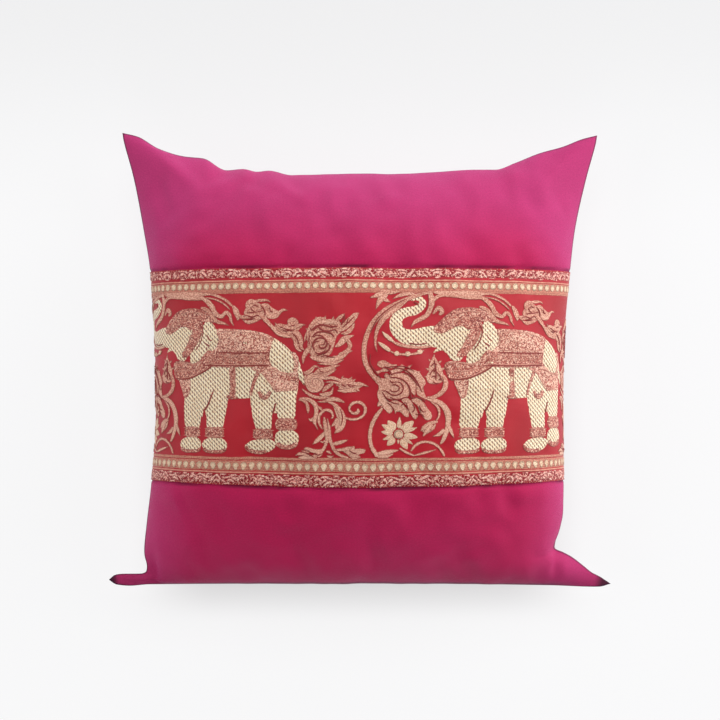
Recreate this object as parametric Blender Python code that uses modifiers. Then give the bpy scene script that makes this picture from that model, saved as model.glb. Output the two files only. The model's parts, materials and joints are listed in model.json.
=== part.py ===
"""A square cushion cover, filled, with a brocade band sewn across its front.

The cushion lies on its back. X runs across it, Y up its face, and Z out of its face.
Lengths are in metres. "Across" and "up" are the cloth's own coordinates on one panel,
from minus one at the left or lower seam to plus one at the right or upper seam.
"""

import math
from collections import namedtuple

import bmesh
import bpy
from mathutils import Vector

# Overall form of the filled cushion
SEAM_HEIGHT = 0.062
FRONT_CROWN = 0.092
BACK_CROWN = 0.076
FULLNESS_POWER = 0.9
REST_SOFTNESS = 0.006
RIM_THICKNESS = 0.0016
WAIST_HALF_WIDTH = 0.181
CORNER_HALF_WIDTH = 0.211
DRAW_IN_POWER = 2.0
EAR_REACH_POWER = 6.0
EAR_DROOP = 0.009
EAR_DROOP_POWER = 4.0
EDGE_SPREAD = 0.6
EDGE_SPREAD_POWER = 3.0
LOWER_EAR_POWER = 7.0
LOWER_EDGE_POWER = 12.0

# Height of the face at the middle of the cushion
BOTTOM_EDGE = -0.1995
TOP_EDGE = 0.1640

# Brocade band and the two rows of stitching that hold it
BAND_BOTTOM = -0.1077
BAND_TOP = 0.0777
BAND_THICKNESS = 0.0012
BAND_GAP = 0.0003
BAND_END = 0.955
BAND_EDGE_INSET = 0.0012
CHANNEL_DEPTH = 0.0026
CHANNEL_HALF_WIDTH = 0.0042
PUFF_HEIGHT = 0.0026
PUFF_DISTANCE = 0.0105
PUFF_HALF_WIDTH = 0.0085
PUCKER_HALF_WIDTH = 0.0105
PUCKER_REACH = 0.017

# Folds that run from the ears towards the middle
EAR_RIDGE_HEIGHT = 0.0030
EAR_RIDGE_HALF_WIDTH = 0.0120
EAR_RIDGE_LENGTH = 0.120
EAR_RIDGE_START = 0.020

# Folds at the foot of each lower ear
EAR_FOLD_DEPTH = 0.0036
EAR_FOLD_HALF_WIDTH = 0.0060
EAR_FOLD_REACH = 0.0150

# Cells of each panel
COLUMNS = 48
ROWS_BELOW = 12
ROWS_ABOVE = 12
ROWS_IN_CHANNEL = 2
ROWS_IN_BAND = 15
CHANNEL_ROW = 0.0032

QUARTER_TURN = math.pi / 2
TINY = 1e-5

SeamPoint = namedtuple("SeamPoint", "up x y")
TopPoint = namedtuple("TopPoint", "across rise")
BottomPoint = namedtuple("BottomPoint", "across y")
Pucker = namedtuple("Pucker", "x depth")

# Side seams, from the lower ear to the upper ear
LEFT_SEAM = (
    SeamPoint(up=-1.00, x=-0.2246, y=-0.1979),
    SeamPoint(up=-0.965, x=-0.2190, y=-0.1934),
    SeamPoint(up=-0.93, x=-0.2120, y=-0.1924),
    SeamPoint(up=-0.87, x=-0.1955, y=-0.1920),
    SeamPoint(up=-0.83, x=-0.1913, y=-0.1897),
    SeamPoint(up=-0.78, x=-0.1907, y=-0.1845),
    SeamPoint(up=-0.66, x=-0.1922, y=-0.1722),
    SeamPoint(up=-0.48, x=-0.1893, y=-0.1425),
    SeamPoint(up=-0.3268, x=-0.1852, y=-0.1077),
    SeamPoint(up=-0.10, x=-0.1808, y=-0.0467),
    SeamPoint(up=0.10, x=-0.1818, y=0.0103),
    SeamPoint(up=0.3527, x=-0.1866, y=0.0777),
    SeamPoint(up=0.50, x=-0.1920, y=0.1117),
    SeamPoint(up=0.75, x=-0.2012, y=0.1591),
    SeamPoint(up=1.00, x=-0.2126, y=0.2019),
)
RIGHT_SEAM = (
    SeamPoint(up=-1.00, x=0.2242, y=-0.2014),
    SeamPoint(up=-0.97, x=0.2198, y=-0.1984),
    SeamPoint(up=-0.93, x=0.2143, y=-0.1948),
    SeamPoint(up=-0.88, x=0.2070, y=-0.1910),
    SeamPoint(up=-0.82, x=0.2003, y=-0.1856),
    SeamPoint(up=-0.74, x=0.1887, y=-0.1767),
    SeamPoint(up=-0.69, x=0.1807, y=-0.1722),
    SeamPoint(up=-0.65, x=0.1738, y=-0.1682),
    SeamPoint(up=-0.61, x=0.1744, y=-0.1642),
    SeamPoint(up=-0.52, x=0.1780, y=-0.1509),
    SeamPoint(up=-0.43, x=0.1807, y=-0.1348),
    SeamPoint(up=-0.3268, x=0.1810, y=-0.1077),
    SeamPoint(up=-0.10, x=0.1796, y=-0.0467),
    SeamPoint(up=0.10, x=0.1808, y=0.0103),
    SeamPoint(up=0.3527, x=0.1868, y=0.0777),
    SeamPoint(up=0.50, x=0.1908, y=0.1117),
    SeamPoint(up=0.75, x=0.2012, y=0.1591),
    SeamPoint(up=1.00, x=0.2122, y=0.1997),
)

# How far the upper seam has risen from its lowest height to that of the ears
TOP_SEAM = (
    TopPoint(across=-1.00, rise=1.00),
    TopPoint(across=-0.90, rise=0.90),
    TopPoint(across=-0.78, rise=0.60),
    TopPoint(across=-0.66, rise=0.42),
    TopPoint(across=-0.575, rise=0.37),
    TopPoint(across=-0.48, rise=0.09),
    TopPoint(across=-0.415, rise=0.12),
    TopPoint(across=-0.365, rise=0.05),
    TopPoint(across=-0.32, rise=0.08),
    TopPoint(across=-0.235, rise=-0.04),
    TopPoint(across=0.00, rise=0.00),
    TopPoint(across=0.10, rise=-0.02),
    TopPoint(across=0.25, rise=0.04),
    TopPoint(across=0.42, rise=0.11),
    TopPoint(across=0.49, rise=0.11),
    TopPoint(across=0.565, rise=0.27),
    TopPoint(across=0.68, rise=0.53),
    TopPoint(across=0.79, rise=0.69),
    TopPoint(across=0.90, rise=0.89),
    TopPoint(across=1.00, rise=1.00),
)

# Y of the lower seam, which runs straight except at the tips of the ears
BOTTOM_SEAM = (
    BottomPoint(across=-1.00, y=-0.1979),
    BottomPoint(across=-0.96, y=-0.2020),
    BottomPoint(across=-0.90, y=-0.2028),
    BottomPoint(across=-0.80, y=-0.2012),
    BottomPoint(across=0.00, y=-0.1995),
    BottomPoint(across=0.70, y=-0.2018),
    BottomPoint(across=0.94, y=-0.2038),
    BottomPoint(across=1.00, y=-0.2014),
)

# Puckers that the stitching draws in the plain cloth next to the band
UPPER_PUCKERS = (
    Pucker(x=-0.129, depth=0.0018),
    Pucker(x=-0.062, depth=0.0022),
    Pucker(x=-0.014, depth=0.0024),
    Pucker(x=0.029, depth=0.0018),
    Pucker(x=0.098, depth=0.0022),
    Pucker(x=0.138, depth=0.0016),
)
LOWER_PUCKERS = (
    Pucker(x=-0.086, depth=0.0018),
    Pucker(x=-0.031, depth=0.0020),
    Pucker(x=0.052, depth=0.0010),
    Pucker(x=0.127, depth=0.0014),
)

EarFold = namedtuple("EarFold", "x y")
EAR_FOLDS = (
    EarFold(x=-0.1835, y=-0.1900),
    EarFold(x=0.1720, y=-0.1800),
)

Finish = namedtuple("Finish", "red green blue roughness metallic")
COVER = Finish(red=0.47, green=0.032, blue=0.137, roughness=0.62, metallic=0.0)
BROCADE = Finish(red=0.43, green=0.028, blue=0.035, roughness=0.50, metallic=0.0)


def clear_scene():
    """Empty the scene."""
    for old in list(bpy.data.objects):
        bpy.data.objects.remove(old, do_unlink=True)


def slopes(places, values):
    """The slope of a smooth curve at each of its points."""
    steps = []
    for first, second in zip(range(len(places) - 1), range(1, len(places))):
        steps.append((values[second] - values[first]) / (places[second] - places[first]))
    found = [steps[0]]
    for before, after in zip(steps[:-1], steps[1:]):
        level = before * after <= 0
        found.append(0.0 if level else 2 * before * after / (before + after))
    found.append(steps[-1])
    return found


def smooth_curve(points, along, column):
    """A function that runs smoothly through one column of a table, without overshoot."""
    places = [getattr(point, along) for point in points]
    values = [getattr(point, column) for point in points]
    slope = slopes(places, values)

    def value_at(place):
        index = 0
        while index < len(places) - 2 and place > places[index + 1]:
            index += 1
        width = places[index + 1] - places[index]
        share = min(max((place - places[index]) / width, 0.0), 1.0)
        rest = 1.0 - share
        start = (1 + 2 * share) * rest * rest * values[index]
        end = share * share * (3 - 2 * share) * values[index + 1]
        lean = share * rest * (rest * slope[index] - share * slope[index + 1]) * width
        return start + end + lean

    return value_at


LEFT_X = smooth_curve(LEFT_SEAM, "up", "x")
LEFT_Y = smooth_curve(LEFT_SEAM, "up", "y")
RIGHT_X = smooth_curve(RIGHT_SEAM, "up", "x")
RIGHT_Y = smooth_curve(RIGHT_SEAM, "up", "y")
TOP_RISE = smooth_curve(TOP_SEAM, "across", "rise")
BOTTOM_Y = smooth_curve(BOTTOM_SEAM, "across", "y")


def middle_height(up):
    """Y of the face on its middle line, which is an elliptic section."""
    centre = (TOP_EDGE + BOTTOM_EDGE) / 2
    half = (TOP_EDGE - BOTTOM_EDGE) / 2
    return centre + half * math.sin(QUARTER_TURN * up)


def cloth_row(height):
    """The "up" coordinate whose middle height this is."""
    centre = (TOP_EDGE + BOTTOM_EDGE) / 2
    half = (TOP_EDGE - BOTTOM_EDGE) / 2
    return math.asin((height - centre) / half) / QUARTER_TURN


def bell(distance, half_width):
    """A smooth hump of height one, with this half width."""
    return math.exp(-((distance / half_width) ** 2))


def plan_point(across, up):
    """Where a place of the cloth lies when the cushion is seen from above its face."""
    side_x = RIGHT_X(up) if across > 0 else -LEFT_X(up)
    side_y = RIGHT_Y(up) if across > 0 else LEFT_Y(up)
    round_share = math.sin(QUARTER_TURN * across)
    flat_row = abs(math.sin(QUARTER_TURN * up)) ** EDGE_SPREAD_POWER
    share = round_share + flat_row * EDGE_SPREAD * (across - round_share)
    drawn = WAIST_HALF_WIDTH + (CORNER_HALF_WIDTH - WAIST_HALF_WIDTH) * abs(up) ** DRAW_IN_POWER
    reach = abs(share) ** EAR_REACH_POWER
    x = share * drawn + math.copysign(reach, share) * (side_x - drawn)
    middle_y = middle_height(up)
    if up > 0:
        return x, middle_y + TOP_RISE(across) * (side_y - middle_y)
    ear_share = abs(across) ** LOWER_EAR_POWER
    y = middle_y + ear_share * (side_y - middle_y)
    lower_side_y = RIGHT_Y(-1.0) if across > 0 else LEFT_Y(-1.0)
    straight = BOTTOM_EDGE + ear_share * (lower_side_y - BOTTOM_EDGE)
    return x, y + abs(up) ** LOWER_EDGE_POWER * (BOTTOM_Y(across) - straight)


def seam_height(across, up):
    """Height of the seam plane, a little lower where the ears droop."""
    return SEAM_HEIGHT - EAR_DROOP * abs(across * up) ** EAR_DROOP_POWER


def fullness(across, up):
    """Share of the whole crown that the panel has here: none at the seam, one in the middle."""
    share = math.cos(QUARTER_TURN * across) * math.cos(QUARTER_TURN * up)
    return max(share, 0.0) ** FULLNESS_POWER


def front_form(across, up):
    """The front panel's rounded form before its channels and folds."""
    x, y = plan_point(across, up)
    rise = RIM_THICKNESS / 2 + FRONT_CROWN * fullness(across, up)
    return Vector((x, y, seam_height(across, up) + rise))


def outward(across, up):
    """The direction out of the front panel's rounded form."""
    left = max(across - TINY, -1.0)
    right = min(across + TINY, 1.0)
    low = max(up - TINY, -1.0)
    high = min(up + TINY, 1.0)
    along = front_form(right, up) - front_form(left, up)
    rising = front_form(across, high) - front_form(across, low)
    return along.cross(rising).normalized()


def channel_relief(x, y):
    """Height of the sewn channels, of the puff beside each and of its puckers."""
    relief = 0.0
    for seam, side, puckers in (
        (BAND_TOP, 1.0, UPPER_PUCKERS),
        (BAND_BOTTOM, -1.0, LOWER_PUCKERS),
    ):
        beyond = side * (y - seam)
        relief -= CHANNEL_DEPTH * bell(beyond, CHANNEL_HALF_WIDTH)
        relief += PUFF_HEIGHT * bell(beyond - PUFF_DISTANCE, PUFF_HALF_WIDTH)
        if beyond > 0:
            for pucker in puckers:
                across = bell(x - pucker.x, PUCKER_HALF_WIDTH)
                relief -= pucker.depth * across * bell(beyond, PUCKER_REACH)
    return relief


def ear_relief(x, y):
    """Height of the ridge from each upper ear and of the fold at each lower ear."""
    relief = 0.0
    for tip in (Vector((LEFT_X(1.0), LEFT_Y(1.0))), Vector((RIGHT_X(1.0), RIGHT_Y(1.0)))):
        inward = (Vector((0.0, 0.0)) - tip).normalized()
        offset = Vector((x, y)) - tip
        along = offset.dot(inward)
        aside = abs(offset.x * inward.y - offset.y * inward.x)
        length = bell(along - EAR_RIDGE_START - EAR_RIDGE_LENGTH / 2, EAR_RIDGE_LENGTH / 2)
        relief += EAR_RIDGE_HEIGHT * length * bell(aside, EAR_RIDGE_HALF_WIDTH)
    for fold in EAR_FOLDS:
        reach = bell(y - fold.y, EAR_FOLD_REACH)
        relief -= EAR_FOLD_DEPTH * reach * bell(x - fold.x, EAR_FOLD_HALF_WIDTH)
    return relief


def band_inset(y):
    """How far the front panel stands back beneath the band, as a smooth step at each edge."""
    steps = []
    for distance in (y - BAND_BOTTOM, BAND_TOP - y):
        share = min(max(0.5 + distance / (2 * CHANNEL_HALF_WIDTH), 0.0), 1.0)
        steps.append(share * share * (3 - 2 * share))
    return (BAND_THICKNESS + BAND_GAP) * min(steps)


def front_surface(across, up, lift=0.0):
    """The finished front panel, or a layer that lies this far above it."""
    place = front_form(across, up)
    relief = channel_relief(place.x, place.y) + ear_relief(place.x, place.y)
    relief -= band_inset(place.y)
    relief *= min(1.0, (1.0 - abs(up)) * COLUMNS / 2)
    direction = outward(across, up)
    if abs(across) > 1.0 - TINY:
        direction = Vector((math.copysign(1.0, across), 0.0, 0.0))
    return place + direction * (relief + lift)


def back_surface(across, up):
    """The back panel, rounded and pressed flat where it rests."""
    x, y = plan_point(across, up)
    drop = RIM_THICKNESS / 2 + BACK_CROWN * fullness(across, up)
    height = seam_height(across, up) - drop
    if height < -REST_SOFTNESS:
        height = 0.0
    elif height < REST_SOFTNESS:
        height = (height + REST_SOFTNESS) ** 2 / (4 * REST_SOFTNESS)
    place = Vector((x, y, height))
    if abs(across) > 1.0 - TINY:
        front = front_surface(across, up)
        place.x = front.x
        place.y = front.y
    return place


def evenly(start, end, cells):
    """Row lines from start up to but not including end."""
    return [start + (end - start) * step / cells for step in range(cells)]


def row_lines():
    """The "up" coordinates of the panel's rows, closer together in the sewn channels."""
    low = cloth_row(BAND_BOTTOM + BAND_EDGE_INSET)
    high = cloth_row(BAND_TOP - BAND_EDGE_INSET)
    below = cloth_row(BAND_BOTTOM - ROWS_IN_CHANNEL * CHANNEL_ROW)
    low_in = cloth_row(BAND_BOTTOM + ROWS_IN_CHANNEL * CHANNEL_ROW)
    high_in = cloth_row(BAND_TOP - ROWS_IN_CHANNEL * CHANNEL_ROW)
    above = cloth_row(BAND_TOP + ROWS_IN_CHANNEL * CHANNEL_ROW)
    rows = evenly(-1.0, below, ROWS_BELOW)
    rows += evenly(below, low, ROWS_IN_CHANNEL)
    rows += evenly(low, low_in, ROWS_IN_CHANNEL)
    rows += evenly(low_in, high_in, ROWS_IN_BAND)
    rows += evenly(high_in, high, ROWS_IN_CHANNEL)
    rows += evenly(high, above, ROWS_IN_CHANNEL)
    rows += evenly(above, 1.0, ROWS_ABOVE)
    rows.append(1.0)
    return rows


def column_lines():
    """The "across" coordinates of the panel's columns."""
    return [2.0 * step / COLUMNS - 1.0 for step in range(COLUMNS + 1)]


def shaped_grid(shape, columns, rows, place_at):
    """Add a grid of cells and set each of its points from its column and row."""
    made = bmesh.ops.create_grid(
        shape,
        x_segments=len(columns) - 1,
        y_segments=len(rows) - 1,
        size=1.0,
    )
    for point in made["verts"]:
        column = round((point.co.x + 1.0) / 2.0 * (len(columns) - 1))
        row = round((point.co.y + 1.0) / 2.0 * (len(rows) - 1))
        point.co = place_at(columns[column], rows[row])
    return made["verts"]


def material_for(name, finish):
    """A plain material for one cloth."""
    material = bpy.data.materials.new(name)
    material.use_nodes = True
    shader = material.node_tree.nodes["Principled BSDF"]
    shader.inputs["Base Color"].default_value = (finish.red, finish.green, finish.blue, 1.0)
    shader.inputs["Roughness"].default_value = finish.roughness
    shader.inputs["Metallic"].default_value = finish.metallic
    return material


def add_object(name, shape, material, collection):
    """Turn a shape into a named object, smoothly shaded, in the cushion's collection."""
    mesh = bpy.data.meshes.new(name)
    shape.to_mesh(mesh)
    shape.free()
    mesh.materials.append(material)
    mesh.shade_smooth()
    item = bpy.data.objects.new(name, mesh)
    collection.objects.link(item)
    return item


def build_cushion(collection):
    """The front and back panels round the filling, closed by the seam's narrow rim."""
    shape = bmesh.new()
    columns = column_lines()
    rows = row_lines()
    shaped_grid(shape, columns, rows, front_surface)
    front_faces = set(shape.faces)
    shaped_grid(shape, columns, rows, back_surface)
    back_faces = [face for face in shape.faces if face not in front_faces]
    bmesh.ops.reverse_faces(shape, faces=back_faces)
    bmesh.ops.triangulate(shape, faces=shape.faces[:], quad_method="FIXED")
    rims = [edge for edge in shape.edges if edge.is_boundary]
    bmesh.ops.bridge_loops(shape, edges=rims)
    bmesh.ops.triangulate(shape, faces=shape.faces[:], quad_method="BEAUTY")
    bmesh.ops.recalc_face_normals(shape, faces=shape.faces[:])
    return add_object("cushion", shape, material_for("cover", COVER), collection)


def build_band(collection):
    """The brocade strip, which follows the front panel from one side seam to the other."""
    shape = bmesh.new()
    columns = [place for place in column_lines() if abs(place) < BAND_END]
    rows = row_lines()[ROWS_BELOW + ROWS_IN_CHANNEL : -ROWS_ABOVE - ROWS_IN_CHANNEL]

    def strip_place(across, up):
        return front_surface(across, up, BAND_GAP)

    shaped_grid(shape, columns, rows, strip_place)
    bmesh.ops.triangulate(shape, faces=shape.faces[:], quad_method="FIXED")
    item = add_object("brocade_band", shape, material_for("brocade", BROCADE), collection)
    thickness = item.modifiers.new("thickness", "SOLIDIFY")
    thickness.thickness = BAND_THICKNESS
    thickness.offset = 1.0
    thickness.use_even_offset = False
    return item


def centre_over_origin(items):
    """Shift the meshes together so that their common box is centred over the origin."""
    bpy.context.view_layer.update()
    corners = [Vector(corner) for item in items for corner in item.bound_box]
    low = Vector((min(corner.x for corner in corners), min(corner.y for corner in corners)))
    high = Vector((max(corner.x for corner in corners), max(corner.y for corner in corners)))
    centre = (low + high) / 2
    for item in items:
        for point in item.data.vertices:
            point.co.x -= centre.x
            point.co.y -= centre.y


def main():
    """Build the cushion and its band."""
    clear_scene()
    collection = bpy.data.collections.new("brocade_band_cushion")
    bpy.context.scene.collection.children.link(collection)
    items = (build_cushion(collection), build_band(collection))
    centre_over_origin(items)


main()
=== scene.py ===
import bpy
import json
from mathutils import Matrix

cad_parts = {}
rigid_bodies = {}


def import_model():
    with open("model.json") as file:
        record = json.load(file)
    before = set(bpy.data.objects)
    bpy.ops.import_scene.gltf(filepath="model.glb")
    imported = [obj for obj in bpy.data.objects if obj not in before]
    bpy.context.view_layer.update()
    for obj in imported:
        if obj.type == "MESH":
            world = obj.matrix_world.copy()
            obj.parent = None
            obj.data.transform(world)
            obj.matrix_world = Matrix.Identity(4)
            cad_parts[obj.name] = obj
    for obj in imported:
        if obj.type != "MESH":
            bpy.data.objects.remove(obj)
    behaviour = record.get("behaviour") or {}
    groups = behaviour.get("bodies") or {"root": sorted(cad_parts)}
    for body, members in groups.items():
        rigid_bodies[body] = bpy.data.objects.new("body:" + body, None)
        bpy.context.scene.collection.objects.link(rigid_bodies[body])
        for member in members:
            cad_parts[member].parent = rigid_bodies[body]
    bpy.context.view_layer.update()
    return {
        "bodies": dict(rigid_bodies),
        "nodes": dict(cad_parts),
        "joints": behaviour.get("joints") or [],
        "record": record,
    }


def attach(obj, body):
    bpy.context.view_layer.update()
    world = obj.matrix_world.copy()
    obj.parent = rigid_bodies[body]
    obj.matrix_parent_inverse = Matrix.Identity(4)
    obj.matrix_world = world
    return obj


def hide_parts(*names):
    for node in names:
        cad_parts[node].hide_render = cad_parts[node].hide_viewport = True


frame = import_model()

import json
import logging
import math
from dataclasses import dataclass, field
from enum import Enum
from typing import Callable, NamedTuple, Sequence

import bpy
import numpy as np
from mathutils import Vector

LOG = logging.getLogger("cushion_cover")
BODY = "root"
MM = 0.001
QUARTER_TURN = math.pi / 2.0
EDGE_STEP = 1e-5

Row = tuple[float, float, float]
Rgb = tuple[float, float, float]
Span = tuple[float, float]
Outline = Sequence[tuple[float, float]]
Curve = Callable[[np.ndarray], np.ndarray]


class SeamPoint(NamedTuple):
    """One point of a side seam: its "up" coordinate and its place in metres."""

    up: float
    x: float
    y: float


class EdgePoint(NamedTuple):
    """One point of a panel's end edge: its "across" coordinate and its value."""

    across: float
    value: float


class Pucker(NamedTuple):
    """A small dip beside a band seam: its place across and its depth in metres."""

    x: float
    depth: float


class Fold(NamedTuple):
    """A soft crease or ridge, in metres: its middle, heading, length, width and height."""

    x: float
    y: float
    heading_deg: float
    half_length: float
    half_width: float
    height: float


# The cover's outline, puckers and folds.
LEFT_SEAM = tuple(SeamPoint(*row) for row in (
    (-1.00, -0.2246, -0.1979), (-0.965, -0.2190, -0.1934), (-0.93, -0.2120, -0.1924),
    (-0.87, -0.1955, -0.1920), (-0.83, -0.1913, -0.1897), (-0.78, -0.1907, -0.1845),
    (-0.66, -0.1922, -0.1722), (-0.48, -0.1893, -0.1425), (-0.3268, -0.1852, -0.1077),
    (-0.10, -0.1808, -0.0467), (0.10, -0.1818, 0.0103), (0.3527, -0.1866, 0.0777),
    (0.50, -0.1920, 0.1117), (0.75, -0.2012, 0.1591), (1.00, -0.2126, 0.2019),
))
RIGHT_SEAM = tuple(SeamPoint(*row) for row in (
    (-1.00, 0.2242, -0.2014), (-0.97, 0.2198, -0.1984), (-0.93, 0.2143, -0.1948),
    (-0.88, 0.2070, -0.1910), (-0.82, 0.2003, -0.1856), (-0.74, 0.1887, -0.1767),
    (-0.69, 0.1807, -0.1722), (-0.65, 0.1738, -0.1682), (-0.61, 0.1744, -0.1642),
    (-0.52, 0.1780, -0.1509), (-0.43, 0.1807, -0.1348), (-0.3268, 0.1810, -0.1077),
    (-0.10, 0.1796, -0.0467), (0.10, 0.1808, 0.0103), (0.3527, 0.1868, 0.0777),
    (0.50, 0.1908, 0.1117), (0.75, 0.2012, 0.1591), (1.00, 0.2122, 0.1997),
))
TOP_RISE = tuple(EdgePoint(*row) for row in (
    (-1.00, 1.00), (-0.90, 0.90), (-0.78, 0.60), (-0.66, 0.42), (-0.575, 0.37),
    (-0.48, 0.09), (-0.415, 0.12), (-0.365, 0.05), (-0.32, 0.08), (-0.235, -0.04),
    (0.00, 0.00), (0.10, -0.02), (0.25, 0.04), (0.42, 0.11), (0.49, 0.11),
    (0.565, 0.27), (0.68, 0.53), (0.79, 0.69), (0.90, 0.89), (1.00, 1.00),
))
BOTTOM_EDGE = tuple(EdgePoint(*row) for row in (
    (-1.00, -0.1979), (-0.96, -0.2020), (-0.90, -0.2028), (-0.80, -0.2012),
    (0.00, -0.1995), (0.70, -0.2018), (0.94, -0.2038), (1.00, -0.2014),
))
UPPER_PUCKERS = tuple(Pucker(*row) for row in (
    (-0.129, 0.0018), (-0.062, 0.0022), (-0.014, 0.0024),
    (0.029, 0.0018), (0.098, 0.0022), (0.138, 0.0016),
))
LOWER_PUCKERS = tuple(Pucker(*row) for row in (
    (-0.086, 0.0018), (-0.031, 0.0020), (0.052, 0.0010), (0.127, 0.0014),
))
EAR_DIPS = ((-0.1835, -0.1900), (0.1720, -0.1800))
FOLDS = tuple(Fold(*row) for row in (
    (-0.1665, 0.1695, -40.0, 0.027, 0.0068, 0.0033),
    (-0.172, 0.140, -80.0, 0.022, 0.0080, -0.0016),
    (-0.060, 0.1440, -40.0, 0.016, 0.0050, 0.0012),
    (-0.052, 0.1290, -20.0, 0.014, 0.0070, -0.0014),
    (-0.095, 0.1525, -26.0, 0.022, 0.0055, -0.0013),
    (-0.056, 0.1220, -20.0, 0.020, 0.0120, -0.0012),
    (-0.125, 0.1080, 30.0, 0.030, 0.0150, -0.0012),
    (0.128, 0.1570, 22.0, 0.022, 0.0090, 0.0013),
    (0.082, 0.1080, -70.0, 0.020, 0.0110, -0.0010),
    (-0.157, -0.1240, -72.0, 0.016, 0.0045, 0.0012),
    (-0.147, -0.1360, -65.0, 0.026, 0.0065, -0.0013),
    (-0.137, -0.1700, 60.0, 0.012, 0.0100, -0.0014),
    (0.016, -0.1440, 80.0, 0.016, 0.0150, -0.0008),
    (0.138, -0.1440, -65.0, 0.032, 0.0080, -0.0008),
    (0.158, -0.1250, -75.0, 0.026, 0.0100, 0.0006),
    (0.1700, -0.1795, 82.0, 0.0105, 0.0040, 0.0020),
    (0.150, -0.1700, -38.0, 0.030, 0.0060, -0.0006),
))


def bell(distance: np.ndarray, width: float) -> np.ndarray:
    """exp(-(distance / width) squared): 1 in the middle, fading over the width."""
    return np.exp(-((distance / width) ** 2))


def smooth_curve(xs: Sequence[float], ys: Sequence[float]) -> Curve:
    """A smooth curve through points that never overshoots between them.

    Cubic Hermite pieces, each knot's slope being the harmonic mean of the slopes beside
    it, or nought where they point opposite ways.

    Args:
        xs: Rising positions of the knots.
        ys: The values there.

    Returns:
        A function of an array of positions.
    """
    x = np.asarray(xs, float)
    y = np.asarray(ys, float)
    step = np.diff(x)
    slope = np.diff(y) / step
    knot = np.zeros(len(x))
    knot[0], knot[-1] = slope[0], slope[-1]
    product = slope[:-1] * slope[1:]
    total = slope[:-1] + slope[1:]
    knot[1:-1] = np.where(product <= 0.0, 0.0, 2.0 * product / np.where(total == 0.0, 1.0, total))

    def value(place: np.ndarray) -> np.ndarray:
        """The curve's value at each place."""
        place = np.asarray(place, float)
        i = np.clip(np.searchsorted(x, place, side="left") - 1, 0, len(x) - 2)
        wide = step[i]
        u = np.clip((place - x[i]) / wide, 0.0, 1.0)
        r = 1.0 - u
        return (
            (1.0 + 2.0 * u) * r * r * y[i]
            + u * u * (3.0 - 2.0 * u) * y[i + 1]
            + u * r * (r * knot[i] - u * knot[i + 1]) * wide
        )

    return value


def unit(vectors: np.ndarray) -> np.ndarray:
    """The vectors, each divided by its length."""
    return vectors / np.maximum(np.linalg.norm(vectors, axis=-1, keepdims=True), 1e-12)


def running(points: np.ndarray, axis: int) -> np.ndarray:
    """Lengths along a line or grid of points from its start, as running sums of its chords."""
    chords = np.linalg.norm(np.diff(points, axis=axis), axis=-1)
    return np.insert(np.cumsum(chords, axis=axis), 0, 0.0, axis=axis)


def crowded(places: np.ndarray, near: np.ndarray, extra: float, count: int) -> np.ndarray:
    """Picks places that lie closer together where more is wanted.

    Args:
        places: Evenly spaced places to pick from.
        near: How much more is wanted at each, from 0.
        extra: What near is multiplied with.
        count: How many are picked.

    Returns:
        The picked places, from the first to the last.
    """
    density = 1.0 + extra * near
    total = np.concatenate([[0.0], np.cumsum((density[1:] + density[:-1]) / 2.0)])
    return np.interp(np.linspace(0.0, total[-1], count), total, places)


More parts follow.
